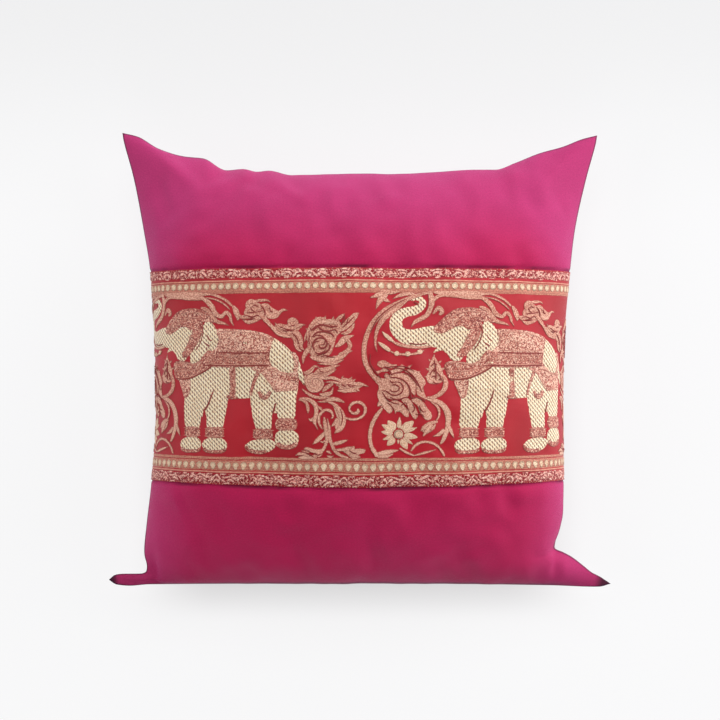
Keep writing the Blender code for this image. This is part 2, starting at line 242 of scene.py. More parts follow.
@dataclass
class CushionForm:
    """The filled cover as two panels, each a function of "across" and "up", from -1 to 1."""

    seam_height: float = 0.062
    front_crown: float = 0.092
    back_crown: float = 0.076
    fullness_power: float = 0.9
    rest_softness: float = 0.006
    rim: float = 0.0016
    waist: float = 0.181
    corner: float = 0.211
    ear_droop: float = 0.009
    edge_spread: float = 0.6
    bottom_edge: float = -0.1995
    top_edge: float = 0.1640
    band_bottom: float = -0.1077
    band_top: float = 0.0777
    band_bow: float = 0.0022
    channel_depth: float = 0.0012
    channel_half_width: float = 0.0028
    puff_height: float = 0.0012
    puff_distance: float = 0.0105
    puff_half_width: float = 0.0085
    pucker_half_width: float = 0.0085
    pucker_reach: float = 0.0170
    ridge_height: float = 0.0030
    ridge_half_width: float = 0.0120
    ridge_middle: float = 0.0560
    ridge_half_length: float = 0.0420
    ear_dip: float = 0.0036
    band_inset: float = 0.0015
    lump_height: float = 0.0018
    ripple_height: float = 0.0013
    side_calm: float = 14.0
    ear_dip_half_width: float = 0.006
    ear_dip_half_length: float = 0.015
    end_fade: float = 24.0
    lump_waves: tuple[Row, ...] = (
        (61.0, 38.0, 0.3), (-47.0, 72.0, 1.9), (88.0, -29.0, 4.1), (23.0, 97.0, 2.6), (-104.0, -41.0, 5.2),
    )
    ripple_waves: tuple[Row, ...] = (
        (172.0, 64.0, 0.9), (-118.0, 151.0, 2.2), (204.0, -88.0, 4.4), (67.0, 236.0, 5.6),
        (-231.0, -103.0, 1.3), (141.0, 187.0, 3.1), (-88.0, 262.0, 0.2), (268.0, 121.0, 2.9),
    )
    ripple_bend: Row = (-40.0, 55.0, 1.4)
    centre: Span = (0.0002, 0.0009283)
    left_x: Curve = field(init=False)
    left_y: Curve = field(init=False)
    right_x: Curve = field(init=False)
    right_y: Curve = field(init=False)
    rise: Curve = field(init=False)
    bottom: Curve = field(init=False)
    gathers: np.ndarray | None = None

    def __post_init__(self) -> None:
        """Makes the smooth curves of the seams and end edges from their tables."""
        self.left_x = smooth_curve([p.up for p in LEFT_SEAM], [p.x for p in LEFT_SEAM])
        self.left_y = smooth_curve([p.up for p in LEFT_SEAM], [p.y for p in LEFT_SEAM])
        self.right_x = smooth_curve([p.up for p in RIGHT_SEAM], [p.x for p in RIGHT_SEAM])
        self.right_y = smooth_curve([p.up for p in RIGHT_SEAM], [p.y for p in RIGHT_SEAM])
        self.rise = smooth_curve([p.across for p in TOP_RISE], [p.value for p in TOP_RISE])
        self.bottom = smooth_curve([p.across for p in BOTTOM_EDGE], [p.value for p in BOTTOM_EDGE])

    def middle(self, up: np.ndarray) -> np.ndarray:
        """Where a row crosses the middle: the edges' mean plus their half distance by a sine."""
        half = (self.top_edge - self.bottom_edge) / 2.0
        return (self.top_edge + self.bottom_edge) / 2.0 + half * np.sin(QUARTER_TURN * up)

    def row(self, y: float) -> float:
        """The "up" coordinate of the row that crosses the middle at y."""
        half = (self.top_edge - self.bottom_edge) / 2.0
        return float(np.arcsin((y - (self.top_edge + self.bottom_edge) / 2.0) / half) / QUARTER_TURN)

    def plan(self, across: np.ndarray, up: np.ndarray) -> tuple[np.ndarray, np.ndarray]:
        """The plan of both panels: rows run out to the seams, and the corners reach past.

        Near the middle the column spacing is a sine, and near the end edges it is even.
        The sixth power of the column carries it out to the seam table, the seventh power
        its row, and the end edges follow their own tables.

        Args:
            across: Column coordinates.
            up: Row coordinates.

        Returns:
            x and y in metres.
        """
        right = across > 0.0
        side_x = np.where(right, self.right_x(up), -self.left_x(up))
        side_y = np.where(right, self.right_y(up), self.left_y(up))
        rounded = np.sin(QUARTER_TURN * across)
        flat = np.abs(np.sin(QUARTER_TURN * up)) ** 3
        share = rounded + flat * self.edge_spread * (across - rounded)
        drawn = self.waist + (self.corner - self.waist) * np.abs(up) ** 2
        x = share * drawn + np.copysign(np.abs(share) ** 6, share) * (side_x - drawn)
        middle = self.middle(up)
        upper = middle + self.rise(across) * (side_y - middle)
        reach = np.abs(across) ** 7
        lower = middle + reach * (side_y - middle)
        corner_y = np.where(right, self.right_y(-1.0), self.left_y(-1.0))
        straight = self.bottom_edge + reach * (corner_y - self.bottom_edge)
        lower = lower + np.abs(up) ** 12 * (self.bottom(across) - straight)
        return x, np.where(up > 0.0, upper, lower)

    def seam(self, across: np.ndarray, up: np.ndarray) -> np.ndarray:
        """The seam's height: level, less the fourth power of across by up in the ears."""
        return self.seam_height - self.ear_droop * np.abs(across * up) ** 4

    def fullness(self, across: np.ndarray, up: np.ndarray) -> np.ndarray:
        """The product of two cosines to a power: 1 in the middle and 0 on every edge."""
        product = np.cos(QUARTER_TURN * across) * np.cos(QUARTER_TURN * up)
        return np.maximum(product, 0.0) ** self.fullness_power

    def crown(self, across: np.ndarray, up: np.ndarray) -> np.ndarray:
        """The smooth front panel before its channels: plan, and seam plus crown in height."""
        x, y = self.plan(across, up)
        height = self.seam(across, up) + self.rim / 2.0
        height = height + self.front_crown * self.fullness(across, up)
        return np.stack([x, y, height], axis=-1)

    def outward(self, across: np.ndarray, up: np.ndarray) -> np.ndarray:
        """The smooth front panel's normals, from the cross product of its two slopes."""
        right = self.crown(np.minimum(across + EDGE_STEP, 1.0), up)
        left = self.crown(np.maximum(across - EDGE_STEP, -1.0), up)
        above = self.crown(across, np.minimum(up + EDGE_STEP, 1.0))
        below = self.crown(across, np.maximum(up - EDGE_STEP, -1.0))
        normal = unit(np.cross(right - left, above - below))
        on_side = (np.abs(across) > 1.0 - EDGE_STEP)[..., None]
        sideways = np.stack([np.sign(across), 0.0 * across, 0.0 * across], axis=-1)
        return np.where(on_side, sideways, normal)

    def lower_seam(self, x: np.ndarray) -> np.ndarray:
        """The band's lower seam, which bows down by a squared cosine in the middle."""
        return self.band_bottom - self.band_bow * np.cos(QUARTER_TURN * np.clip(x / self.waist, -1, 1)) ** 2

    def lumps(self, x: np.ndarray, y: np.ndarray) -> np.ndarray:
        """The filling's slight unevenness: the mean of a few crossing sine waves."""
        across, up, share = self.ripple_bend
        bend = share * np.sin(up * y + across * x)
        waves = [np.sin(a * x + b * y + c) for a, b, c in self.lump_waves]
        small = [np.sin(a * x + b * y + c + bend) for a, b, c in self.ripple_waves]
        return self.lump_height * np.mean(waves, axis=0) + self.ripple_height * np.mean(small, axis=0)

    def relief(self, x: np.ndarray, y: np.ndarray, up: np.ndarray) -> np.ndarray:
        """What stands out from the smooth front: channels, puffs, puckers, ridges and folds.

        Each is a bell across its line, and a fold also a bell along it. The channels and
        puffs die out at the side seams. Between the band seams the panel lies in by the
        band's inset.

        Args:
            x: Plan places in metres.
            y: Plan places in metres.
            up: Row coordinates, for the fading at the end edges.

        Returns:
            Height along the normal, in metres.
        """
        low = self.lower_seam(x)
        calm = 1.0 - np.minimum(np.abs(x) / self.waist, 1.0) ** self.side_calm
        out = np.zeros_like(x)
        for seam, side, puckers in ((self.band_top, 1.0, UPPER_PUCKERS), (low, -1.0, LOWER_PUCKERS)):
            beyond = side * (y - seam)
            out = out - self.channel_depth * calm * bell(beyond, self.channel_half_width)
            out = out + self.puff_height * calm * bell(beyond - self.puff_distance, self.puff_half_width)
            for pucker in puckers:
                dip = pucker.depth * bell(x - pucker.x, self.pucker_half_width)
                out = out - np.where(beyond > 0.0, dip * bell(beyond, self.pucker_reach), 0.0)
        tips = ((self.left_x(1.0), self.left_y(1.0)), (self.right_x(1.0), self.right_y(1.0)))
        for tip in np.array(tips, float):
            inward = -tip / np.linalg.norm(tip)
            along = (x - tip[0]) * inward[0] + (y - tip[1]) * inward[1]
            aside = (x - tip[0]) * inward[1] - (y - tip[1]) * inward[0]
            ridge = bell(along - self.ridge_middle, self.ridge_half_length)
            out = out + self.ridge_height * ridge * bell(aside, self.ridge_half_width)
        for dip_x, dip_y in EAR_DIPS:
            dip = bell(y - dip_y, self.ear_dip_half_length) * bell(x - dip_x, self.ear_dip_half_width)
            out = out - self.ear_dip * dip
        for fold in FOLDS:
            turn = math.radians(fold.heading_deg)
            along = (x - fold.x) * math.cos(turn) + (y - fold.y) * math.sin(turn)
            aside = (y - fold.y) * math.cos(turn) - (x - fold.x) * math.sin(turn)
            out = out + fold.height * bell(along, fold.half_length) * bell(aside, fold.half_width)
        out = out + self.lumps(x, y) * calm * (1.0 - np.abs(up) ** 6)
        steps = []
        for inside in (y - low, self.band_top - y):
            share = np.clip(0.5 + inside / (2.0 * self.channel_half_width), 0.0, 1.0)
            steps.append(share * share * (3.0 - 2.0 * share))
        out = out - self.band_inset * np.minimum(steps[0], steps[1])
        return out * np.minimum(1.0, (1.0 - np.abs(up)) * self.end_fade)

    def gathered(self, across: np.ndarray, up: np.ndarray) -> np.ndarray:
        """The simulated gathers between the grid's points, by a cubic curve each way.

        Args:
            across: Column coordinates.
            up: Row coordinates.

        Returns:
            Height along the normal, in metres, or nought before the simulation.
        """
        if self.gathers is None:
            return np.zeros_like(across)
        cells = self.gathers.shape[0] - 1
        total = np.zeros_like(across)
        bases, weights = [], []
        for place in (up, across):
            scaled = np.clip((place + 1.0) / 2.0 * cells, 0.0, cells - 1e-9)
            base = np.floor(scaled).astype(int)
            t = scaled - base
            bases.append(base)
            weights.append((
                -0.5 * t + t**2 - 0.5 * t**3, 1.0 - 2.5 * t**2 + 1.5 * t**3,
                0.5 * t + 2.0 * t**2 - 1.5 * t**3, -0.5 * t**2 + 0.5 * t**3,
            ))
        for i, row_weight in enumerate(weights[0]):
            for j, column_weight in enumerate(weights[1]):
                row = np.clip(bases[0] + i - 1, 0, cells)
                column = np.clip(bases[1] + j - 1, 0, cells)
                total = total + row_weight * column_weight * self.gathers[row, column]
        return total

    def front(self, across: np.ndarray, up: np.ndarray, lift: float = 0.0) -> np.ndarray:
        """The front panel: the smooth crown plus its relief and a lift along the normal.

        Args:
            across: Column coordinates.
            up: Row coordinates.
            lift: Distance above the cloth in metres.

        Returns:
            Points in the CAD frame.
        """
        across, up = np.broadcast_arrays(np.asarray(across, float), np.asarray(up, float))
        smooth = self.crown(across, up)
        out = self.relief(smooth[..., 0], smooth[..., 1], up) + self.gathered(across, up) + lift
        points = smooth + self.outward(across, up) * out[..., None]
        return points + np.array([self.centre[0], self.centre[1], 0.0])

    def back(self, across: np.ndarray, up: np.ndarray) -> np.ndarray:
        """The back panel: seam less rim and crown, pressed flat where it would pass the floor.

        Args:
            across: Column coordinates.
            up: Row coordinates.

        Returns:
            Points in the CAD frame.
        """
        across, up = np.broadcast_arrays(np.asarray(across, float), np.asarray(up, float))
        x, y = self.plan(across, up)
        height = self.seam(across, up) - self.rim / 2.0 - self.back_crown * self.fullness(across, up)
        soft = self.rest_softness
        pressed = (height + soft) ** 2 / (4.0 * soft)
        height = np.where(height < -soft, 0.0, np.where(height < soft, pressed, height))
        return np.stack([x + self.centre[0], y + self.centre[1], height], axis=-1)


@dataclass
class BandCloth:
    """The band's own flat measure: p runs along it from the middle, q up it from its lower edge.

    Both are lengths along the curved cloth, as a rule laid on it would read them.
    """

    form: CushionForm
    gap: float = 0.0003
    thickness: float = 0.0012
    end: float = 0.985
    edge_inset: float = 0.0012
    spare: float = 0.0040
    reach: float = 0.222
    row_count: int = 171
    column_count: int = 801
    step: float = 0.0005
    heights: np.ndarray = field(init=False)
    lengths: np.ndarray = field(init=False)
    places: np.ndarray = field(init=False)
    normals: np.ndarray = field(init=False)
    left_ends: np.ndarray = field(init=False)
    right_ends: np.ndarray = field(init=False)
    bow: np.ndarray = field(init=False)

    def __post_init__(self) -> None:
        """Measures the cloth: running sums of chord lengths along each row and the middle."""
        form = self.form
        low = form.row(form.band_bottom + self.edge_inset - self.spare)
        base = form.row(form.band_bottom + self.edge_inset)
        high = form.row(form.band_top - self.edge_inset)
        up = np.linspace(low, high, self.row_count)
        across = np.linspace(-self.end, self.end, self.column_count)
        grid = form.front(across[None, :], up[:, None], self.gap + self.thickness)
        middle = self.column_count // 2
        lengths = running(grid, 1)
        lengths = lengths - lengths[:, [middle]]
        heights = running(grid[:, middle], 0)
        self.heights = heights - np.interp(base, up, heights)
        self.left_ends, self.right_ends = lengths[:, 0], lengths[:, -1]
        self.lengths = np.arange(-self.reach, self.reach + self.step / 2.0, self.step)
        self.places = np.stack([
            np.stack([np.interp(self.lengths, line, row[:, k]) for k in range(3)], axis=-1)
            for line, row in zip(lengths, grid)
        ])
        along = np.gradient(self.places, axis=1)
        upward = np.gradient(self.places, axis=0)
        inside = np.linalg.norm(along, axis=-1) > self.step / 100.0
        normals = unit(np.cross(along, upward))
        first = inside.argmax(axis=1)
        last = inside.shape[1] - 1 - inside[:, ::-1].argmax(axis=1)
        column = np.clip(np.arange(len(self.lengths))[None, :], first[:, None] + 1, last[:, None] - 1)
        self.normals = np.take_along_axis(normals, column[..., None], axis=1)
        base_row = int(np.argmin(np.abs(self.heights)))
        rise = self.heights[base_row + 1] - self.heights[base_row]
        slope = rise / (grid[base_row + 1, middle, 1] - grid[base_row, middle, 1])
        share = np.clip(self.places[base_row, :, 0] / form.waist, -1.0, 1.0)
        self.bow = -slope * form.band_bow * np.cos(QUARTER_TURN * share) ** 2

    @property
    def top(self) -> float:
        """q of the upper edge."""
        return float(self.heights[-1])

    def low(self, p: np.ndarray) -> np.ndarray:
        """q of the bowed lower edge."""
        return np.interp(p, self.lengths, self.bow)

    def ends(self, q: np.ndarray) -> tuple[np.ndarray, np.ndarray]:
        """p of the left and right ends at each q."""
        return np.interp(q, self.heights, self.left_ends), np.interp(q, self.heights, self.right_ends)

    def place(self, p: np.ndarray, q: np.ndarray, lift: np.ndarray) -> np.ndarray:
        """The point at (p, q), a lift above the band's face.

        The measured rows are read between their two nearest neighbours each way.

        Args:
            p: Lengths along the band in metres.
            q: Heights up the band in metres.
            lift: Distances above its face in metres.

        Returns:
            Points in the CAD frame.
        """
        row = np.interp(q, self.heights, np.arange(len(self.heights)))
        i = np.minimum(row.astype(int), len(self.heights) - 2)
        column = np.clip((p - self.lengths[0]) / self.step, 0.0, len(self.lengths) - 1.001)
        j = column.astype(int)
        up, over = (row - i)[..., None], (column - j)[..., None]

        def read(table: np.ndarray) -> np.ndarray:
            """The table's value between the four nearest entries."""
            lower = table[i, j] * (1.0 - over) + table[i, j + 1] * over
            upper = table[i + 1, j] * (1.0 - over) + table[i + 1, j + 1] * over
            return lower * (1.0 - up) + upper * up

        return read(self.places) + unit(read(self.normals)) * np.asarray(lift)[..., None]


def grid_faces(rows: int, columns: int, start: int = 0) -> np.ndarray:
    """Quads of a grid of points, row after row, facing the side that sees columns run right.

    Args:
        rows: Points up.
        columns: Points across.
        start: Index of the first point.

    Returns:
        An array of four indices a face.
    """
    corner = start + np.arange(rows - 1)[:, None] * columns + np.arange(columns - 1)[None, :]
    quads = np.stack([corner, corner + 1, corner + columns + 1, corner + columns], axis=-1)
    return quads.reshape(-1, 4)


def grid_ring(rows: int, columns: int) -> np.ndarray:
    """Indices of a grid's outer points, anticlockwise from its first."""
    index = np.arange(rows * columns).reshape(rows, columns)
    return np.concatenate([index[0, :-1], index[:-1, -1], index[-1, :0:-1], index[:0:-1, 0]])


def mesh_object(
    name: str, points: np.ndarray, faces: np.ndarray, maps: dict[str, np.ndarray]
) -> bpy.types.Object:
    """A smooth mesh object of quads with its UV maps, at the origin.

    Args:
        name: The piece's name.
        points: Its points in metres, in the CAD frame.
        faces: Four point indices a face.
        maps: UV maps by name, a pair of values a point.

    Returns:
        The linked object.
    """
    mesh = bpy.data.meshes.new(name)
    mesh.vertices.add(len(points))
    mesh.vertices.foreach_set("co", np.ascontiguousarray(points, np.float32).ravel())
    corners = np.ascontiguousarray(faces, np.int32).ravel()
    mesh.loops.add(len(corners))
    mesh.loops.foreach_set("vertex_index", corners)
    mesh.polygons.add(len(faces))
    mesh.polygons.foreach_set("loop_start", np.arange(0, len(corners), 4, dtype=np.int32))
    mesh.update(calc_edges=True)
    mesh.validate()
    for label, values in maps.items():
        layer = mesh.uv_layers.new(name=label)
        layer.data.foreach_set("uv", np.ascontiguousarray(values[corners], np.float32).ravel())
    mesh.shade_smooth()
    piece = bpy.data.objects.new(name, mesh)
    bpy.context.scene.collection.objects.link(piece)
    return piece


def closed_shell(front: np.ndarray, back: np.ndarray, groove: float) -> tuple[np.ndarray, np.ndarray]:
    """Joins two grids of the same size into one closed shell with a groove round its edge.

    The groove's ring is the mean of the two edges, drawn towards the grid's middle.

    Args:
        front: Rows by columns of points, seen from outside.
        back: The same for the other side.
        groove: How far the ring between the two lies in, in metres.

    Returns:
        The points and their quads.
    """
    rows, columns = front.shape[:2]
    count = rows * columns
    ring = grid_ring(rows, columns)
    edge_front, edge_back = front.reshape(-1, 3)[ring], back.reshape(-1, 3)[ring]
    middle = (edge_front + edge_back) / 2.0
    following, before = np.roll(middle, -1, axis=0), np.roll(middle, 1, axis=0)
    outward = unit(np.cross(following - before, edge_front - edge_back))
    middle = middle - outward * groove
    points = np.concatenate([front.reshape(-1, 3), back.reshape(-1, 3), middle])
    hollow = 2 * count + np.arange(len(ring))
    next_front, next_hollow = np.roll(ring, -1), np.roll(hollow, -1)
    above = np.stack([ring, hollow, next_hollow, next_front], axis=-1)
    below = np.stack([hollow, ring + count, next_front + count, next_hollow], axis=-1)
    reverse = grid_faces(rows, columns, count)[:, ::-1]
    return points, np.concatenate([grid_faces(rows, columns), reverse, above, below])


def shell_map(front: np.ndarray, back: np.ndarray) -> np.ndarray:
    """A closed shell's map from its two grids' values. The groove's ring takes the front's."""
    ring = grid_ring(*front.shape[:2])
    flat = front.reshape(-1, 2)
    return np.concatenate([flat, back.reshape(-1, 2), flat[ring]])


class Socket(Enum):
    """The Principled shader's sockets that the finishes set."""

    COLOUR = "Base Color"
    ROUGHNESS = "Roughness"
    SPECULAR = "Specular IOR Level"
    SHEEN = "Sheen Weight"
    SHEEN_ROUGHNESS = "Sheen Roughness"
    SHEEN_TINT = "Sheen Tint"
    NORMAL = "Normal"
    GLOW_COLOUR = "Emission Color"
    GLOW = "Emission Strength"


Link = bpy.types.NodeSocket
Value = float | Link
Colour = Rgb | Link


def linear(red: int, green: int, blue: int) -> Rgb:
    """A colour given as it looks on a screen, 0 to 255, as the shader's linear values."""
    shares = [c / 255.0 for c in (red, green, blue)]
    values = [s / 12.92 if s <= 0.04045 else ((s + 0.055) / 1.055) ** 2.4 for s in shares]
    return values[0], values[1], values[2]


class Nodes:
    """A material's node tree with short calls for the nodes that the finishes use."""

    def __init__(self, name: str) -> None:
        """Starts a material of that name with an empty Principled shader."""
        self.material = bpy.data.materials.new(name)
        self.material.use_nodes = True
        self.tree = self.material.node_tree
        self.tree.nodes.clear()
        self.shader = self.tree.nodes.new("ShaderNodeBsdfPrincipled")
        output = self.tree.nodes.new("ShaderNodeOutputMaterial")
        self.tree.links.new(self.shader.outputs[0], output.inputs["Surface"])

    def feed(self, socket: Link, value: Value | Colour) -> None:
        """Links a socket to another, or sets its constant."""
        if isinstance(value, bpy.types.NodeSocket):
            self.tree.links.new(value, socket)
        elif isinstance(value, tuple) and len(socket.default_value) == 4:
            socket.default_value = (*value, 1.0)
        else:
            socket.default_value = value

    def set(self, socket: Socket, value: Value | Colour) -> None:
        """Feeds one of the shader's own sockets."""
        self.feed(self.shader.inputs[socket.value], value)

    def maths(self, operation: str, *values: Value) -> Link:
        """A Math node's result for one to three values."""
        node = self.tree.nodes.new("ShaderNodeMath")
        node.operation = operation
        for socket, value in zip(node.inputs, values):
            self.feed(socket, value)
        return node.outputs[0]

    def times(self, first: Value, second: Value) -> Link:
        """The product of two values."""
        return self.maths("MULTIPLY", first, second)

    def plus(self, first: Value, second: Value) -> Link:
        """The sum of two values."""
        return self.maths("ADD", first, second)

    def minus(self, first: Value, second: Value) -> Link:
        """The first value less the second."""
        return self.maths("SUBTRACT", first, second)

    def size(self, value: Value) -> Link:
        """A value without its sign."""
        return self.maths("ABSOLUTE", value)

    def step(self, value: Value, low: float, high: float) -> Link:
        """A smooth step from 0 at low to 1 at high, or down where low is above high."""
        node = self.tree.nodes.new("ShaderNodeMapRange")
        node.interpolation_type = "SMOOTHSTEP"
        rising = low < high
        ends = {"From Min": min(low, high), "From Max": max(low, high),
                "To Min": 0.0 if rising else 1.0, "To Max": 1.0 if rising else 0.0}
        self.feed(node.inputs["Value"], value)
        for label, end in ends.items():
            self.feed(node.inputs[label], end)
        return node.outputs["Result"]

    def mix(self, share: Value, first: Colour, second: Colour) -> Link:
        """A mix of two colours by a share from 0 to 1."""
        node = self.tree.nodes.new("ShaderNodeMix")
        node.data_type = "RGBA"
        self.feed(node.inputs["Factor"], share)
        self.feed(node.inputs[6], first)
        self.feed(node.inputs[7], second)
        return node.outputs[2]

    def paint(self, colour: Colour, over: Colour, mask: Value, strength: float) -> Link:
        """A colour painted over with another, by a mask times a strength."""
        return self.mix(self.times(mask, strength), colour, over)

    def shade(self, colour: Colour, factor: Value) -> Link:
        """A colour made lighter or darker by a factor."""
        node = self.tree.nodes.new("ShaderNodeVectorMath")
        node.operation = "SCALE"
        self.feed(node.inputs[0], colour)
        self.feed(node.inputs["Scale"], factor)
        return node.outputs[0]

    def distance(self, vector: Link, point: Rgb) -> Link:
        """How far a place is from a fixed point."""
        node = self.tree.nodes.new("ShaderNodeVectorMath")
        node.operation = "DISTANCE"
        self.feed(node.inputs[0], vector)
        node.inputs[1].default_value = point
        return node.outputs["Value"]

    def axes(self, vector: Link) -> tuple[Link, Link, Link]:
        """The three values of a vector."""
        split = self.tree.nodes.new("ShaderNodeSeparateXYZ")
        self.feed(split.inputs[0], vector)
        return split.outputs[0], split.outputs[1], split.outputs[2]

    def uv(self, label: str) -> Link:
        """A UV map as a vector."""
        source = self.tree.nodes.new("ShaderNodeUVMap")
        source.uv_map = label
        return source.outputs[0]

    def place(self) -> Link:
        """Object coordinates."""
        return self.tree.nodes.new("ShaderNodeTexCoord").outputs["Object"]

    def noise(self, vector: Link, scale: float, detail: float) -> Link:
        """Noise from 0 to 1."""
        node = self.tree.nodes.new("ShaderNodeTexNoise")
        self.feed(node.inputs["Vector"], vector)
        self.feed(node.inputs["Scale"], scale)
        self.feed(node.inputs["Detail"], detail)
        return node.outputs["Fac"]

    def cells(self, vector: Link, scale: float) -> Link:
        """A random value from 0 to 1 for each small cell of the cloth."""
        node = self.tree.nodes.new("ShaderNodeTexVoronoi")
        node.voronoi_dimensions = "2D"
        self.feed(node.inputs["Vector"], vector)
        self.feed(node.inputs["Scale"], scale)
        split = self.tree.nodes.new("ShaderNodeSeparateColor")
        self.tree.links.new(node.outputs["Color"], split.inputs[0])
        return split.outputs[0]

    def ripple(self, value: Value, pitch: float) -> Link:
        """A sine from -1 to 1 that repeats every pitch."""
        return self.maths("SINE", self.times(value, 2.0 * math.pi / pitch))

    def surface(self, colour: Colour, height: Value, depth: float, roughness: float, specular: float,
                sheen: float = 0.0) -> bpy.types.Material:
        """Finishes the shader with what every finish sets.

        Args:
            colour: The base colour.
            height: The bump's height, in shares of its depth.
            depth: The bump's depth in metres.
            roughness: The same all over.
            specular: The same all over.
            sheen: The same all over.

        Returns:
            The finished material.
        """
        bump = self.tree.nodes.new("ShaderNodeBump")
        self.feed(bump.inputs["Distance"], depth)
        self.feed(bump.inputs["Height"], height)
        self.feed(bump.inputs["Strength"], 1.0)
        self.set(Socket.NORMAL, bump.outputs["Normal"])
        self.set(Socket.COLOUR, colour)
        self.set(Socket.ROUGHNESS, roughness)
        self.set(Socket.SPECULAR, specular)
        self.set(Socket.SHEEN, sheen)
        return self.material


@dataclass(frozen=True)
class CoverFinish:
    """Deep pink plain-woven cotton, with painted light and shade in its colour.

    It is painted lighter above as a painted highlight and at the sides as a painted sheen, and
    darker towards the bottom as painted shade. Painted seam shadows run round its rim, along
    its lower edge and beside the band, and it is darker towards the two lower ear tips.
    Each pair of lengths is where a smooth step starts and ends. A share says how strongly
    the step or noise before it tells.
    """

    pink: Rgb = linear(184, 14, 76)
    # The lilac is painted highlight above and painted sheen at the sides, and a broad noise also brings it in
    # at random.
    lilac_highlight_and_tone: Rgb = linear(188, 50, 112)
    painted_highlight_above: Span = (0.060, 0.150)
    painted_highlight_share: float = 0.75
    painted_sheen_aside: Span = (0.130, 0.195)
    painted_sheen_share: float = 0.62
    broad_scale: float = 7.0
    broad_middle: float = 0.42
    broad_share: float = 0.6
    lilac_range: Span = (-0.15, 1.05)
    # Painted shade: the colour is darker towards the bottom.
    painted_shade_below: Span = (-0.175, -0.203)
    painted_shade_share: float = 0.22
    grain_least: float = 0.74
    fine_scale: float = 640.0
    fine_share: float = 0.40
    patch_scale: float = 42.0
    patch_share: float = 0.12
    patch_range: Span = (0.30, 0.72)
    # The colour of the painted seam shadows round the rim, along the lower edge and beside the band.
    seam: Rgb = linear(72, 12, 38)
    seam_shadow_share: float = 0.72
    rim_shadow_reach: Span = (0.0017, 0.0005)
    band_shadow_reach: Span = (0.0024, 0.0004)
    lower_shadow_y: Span = (-0.1880, -0.1920)
    lower_shadow_reach: Span = (0.0048, 0.0026)
    lower_shadow_height: Span = (0.0600, 0.0640)
    lower_shadow_share: float = 0.66
    tip: Rgb = linear(42, 10, 26)
    tip_share: float = 0.88
    tips: tuple[tuple[Rgb, float], ...] = (
        ((-0.2246, -0.1975, 0.053), 0.011), ((0.2244, -0.2010, 0.053), 0.0185),
    )
    thread: float = 0.00050
    slub_scale: float = 350.0
    slub_share: float = 1.5
    depth: float = 0.00005
    roughness: float = 0.66
    specular: float = 0.20
    sheen: float = 0.17
    sheen_roughness: float = 0.45
    sheen_tint: Rgb = (0.86, 0.36, 0.92)

    def material(self) -> bpy.types.Material:
        """Makes the node material."""
        nodes = Nodes("pink_cover_cloth")
        place, weave = nodes.place(), nodes.uv("cloth")
        x, y, z = nodes.axes(place)
        # Painted highlight above and painted sheen at the sides, mixed with a broad random tone.
        above = nodes.times(nodes.step(y, *self.painted_highlight_above), self.painted_highlight_share)
        aside = nodes.times(nodes.step(nodes.size(x), *self.painted_sheen_aside), self.painted_sheen_share)
        broad = nodes.minus(nodes.noise(place, self.broad_scale, 3.0), self.broad_middle)
        pale = nodes.plus(nodes.plus(above, aside), nodes.times(broad, self.broad_share))
        colour = nodes.mix(nodes.step(pale, *self.lilac_range), self.pink, self.lilac_highlight_and_tone)
        patches = nodes.noise(place, self.patch_scale, 2.0)
        fine = nodes.times(nodes.noise(weave, self.fine_scale, 2.0), self.fine_share)
        grain = nodes.plus(nodes.plus(self.grain_least, fine), nodes.times(patches, self.patch_share))
        # Painted shade towards the bottom.
        deep = nodes.times(nodes.step(y, *self.painted_shade_below), self.painted_shade_share)
        colour = nodes.shade(colour, nodes.times(grain, nodes.minus(1.0, deep)))
        from_rim, from_band, _ = nodes.axes(nodes.uv("edge"))
        # Painted seam shadows: a thin dark line round the rim, and a wider one along the lower edge.
        rim = nodes.times(nodes.step(from_rim, *self.rim_shadow_reach), self.seam_shadow_share)
        low = nodes.times(nodes.step(y, *self.lower_shadow_y), nodes.step(from_rim, *self.lower_shadow_reach))
        low = nodes.times(low, nodes.step(z, *self.lower_shadow_height))
        rim = nodes.maths("MAXIMUM", rim, nodes.times(low, self.lower_shadow_share))
        colour = nodes.mix(rim, colour, self.seam)
        # Painted shadow beside the band's long edges, broken up by the patch noise.
        shaded = nodes.times(nodes.step(from_band, *self.band_shadow_reach), nodes.step(patches, *self.patch_range))
        colour = nodes.paint(colour, self.seam, shaded, self.seam_shadow_share)
        for tip, reach in self.tips:
            near = nodes.step(nodes.distance(place, tip), reach, 0.4 * reach)
            colour = nodes.paint(colour, self.tip, near, self.tip_share)
        u, v, _ = nodes.axes(weave)
        over = nodes.times(nodes.ripple(u, self.thread), nodes.ripple(v, self.thread))
        slub = nodes.times(nodes.noise(weave, self.slub_scale, 2.0), self.slub_share)
        nodes.set(Socket.SHEEN_ROUGHNESS, self.sheen_roughness)
        nodes.set(Socket.SHEEN_TINT, self.sheen_tint)
        height = nodes.plus(over, slub)
        return nodes.surface(colour, height, self.depth, self.roughness, self.specular, self.sheen)


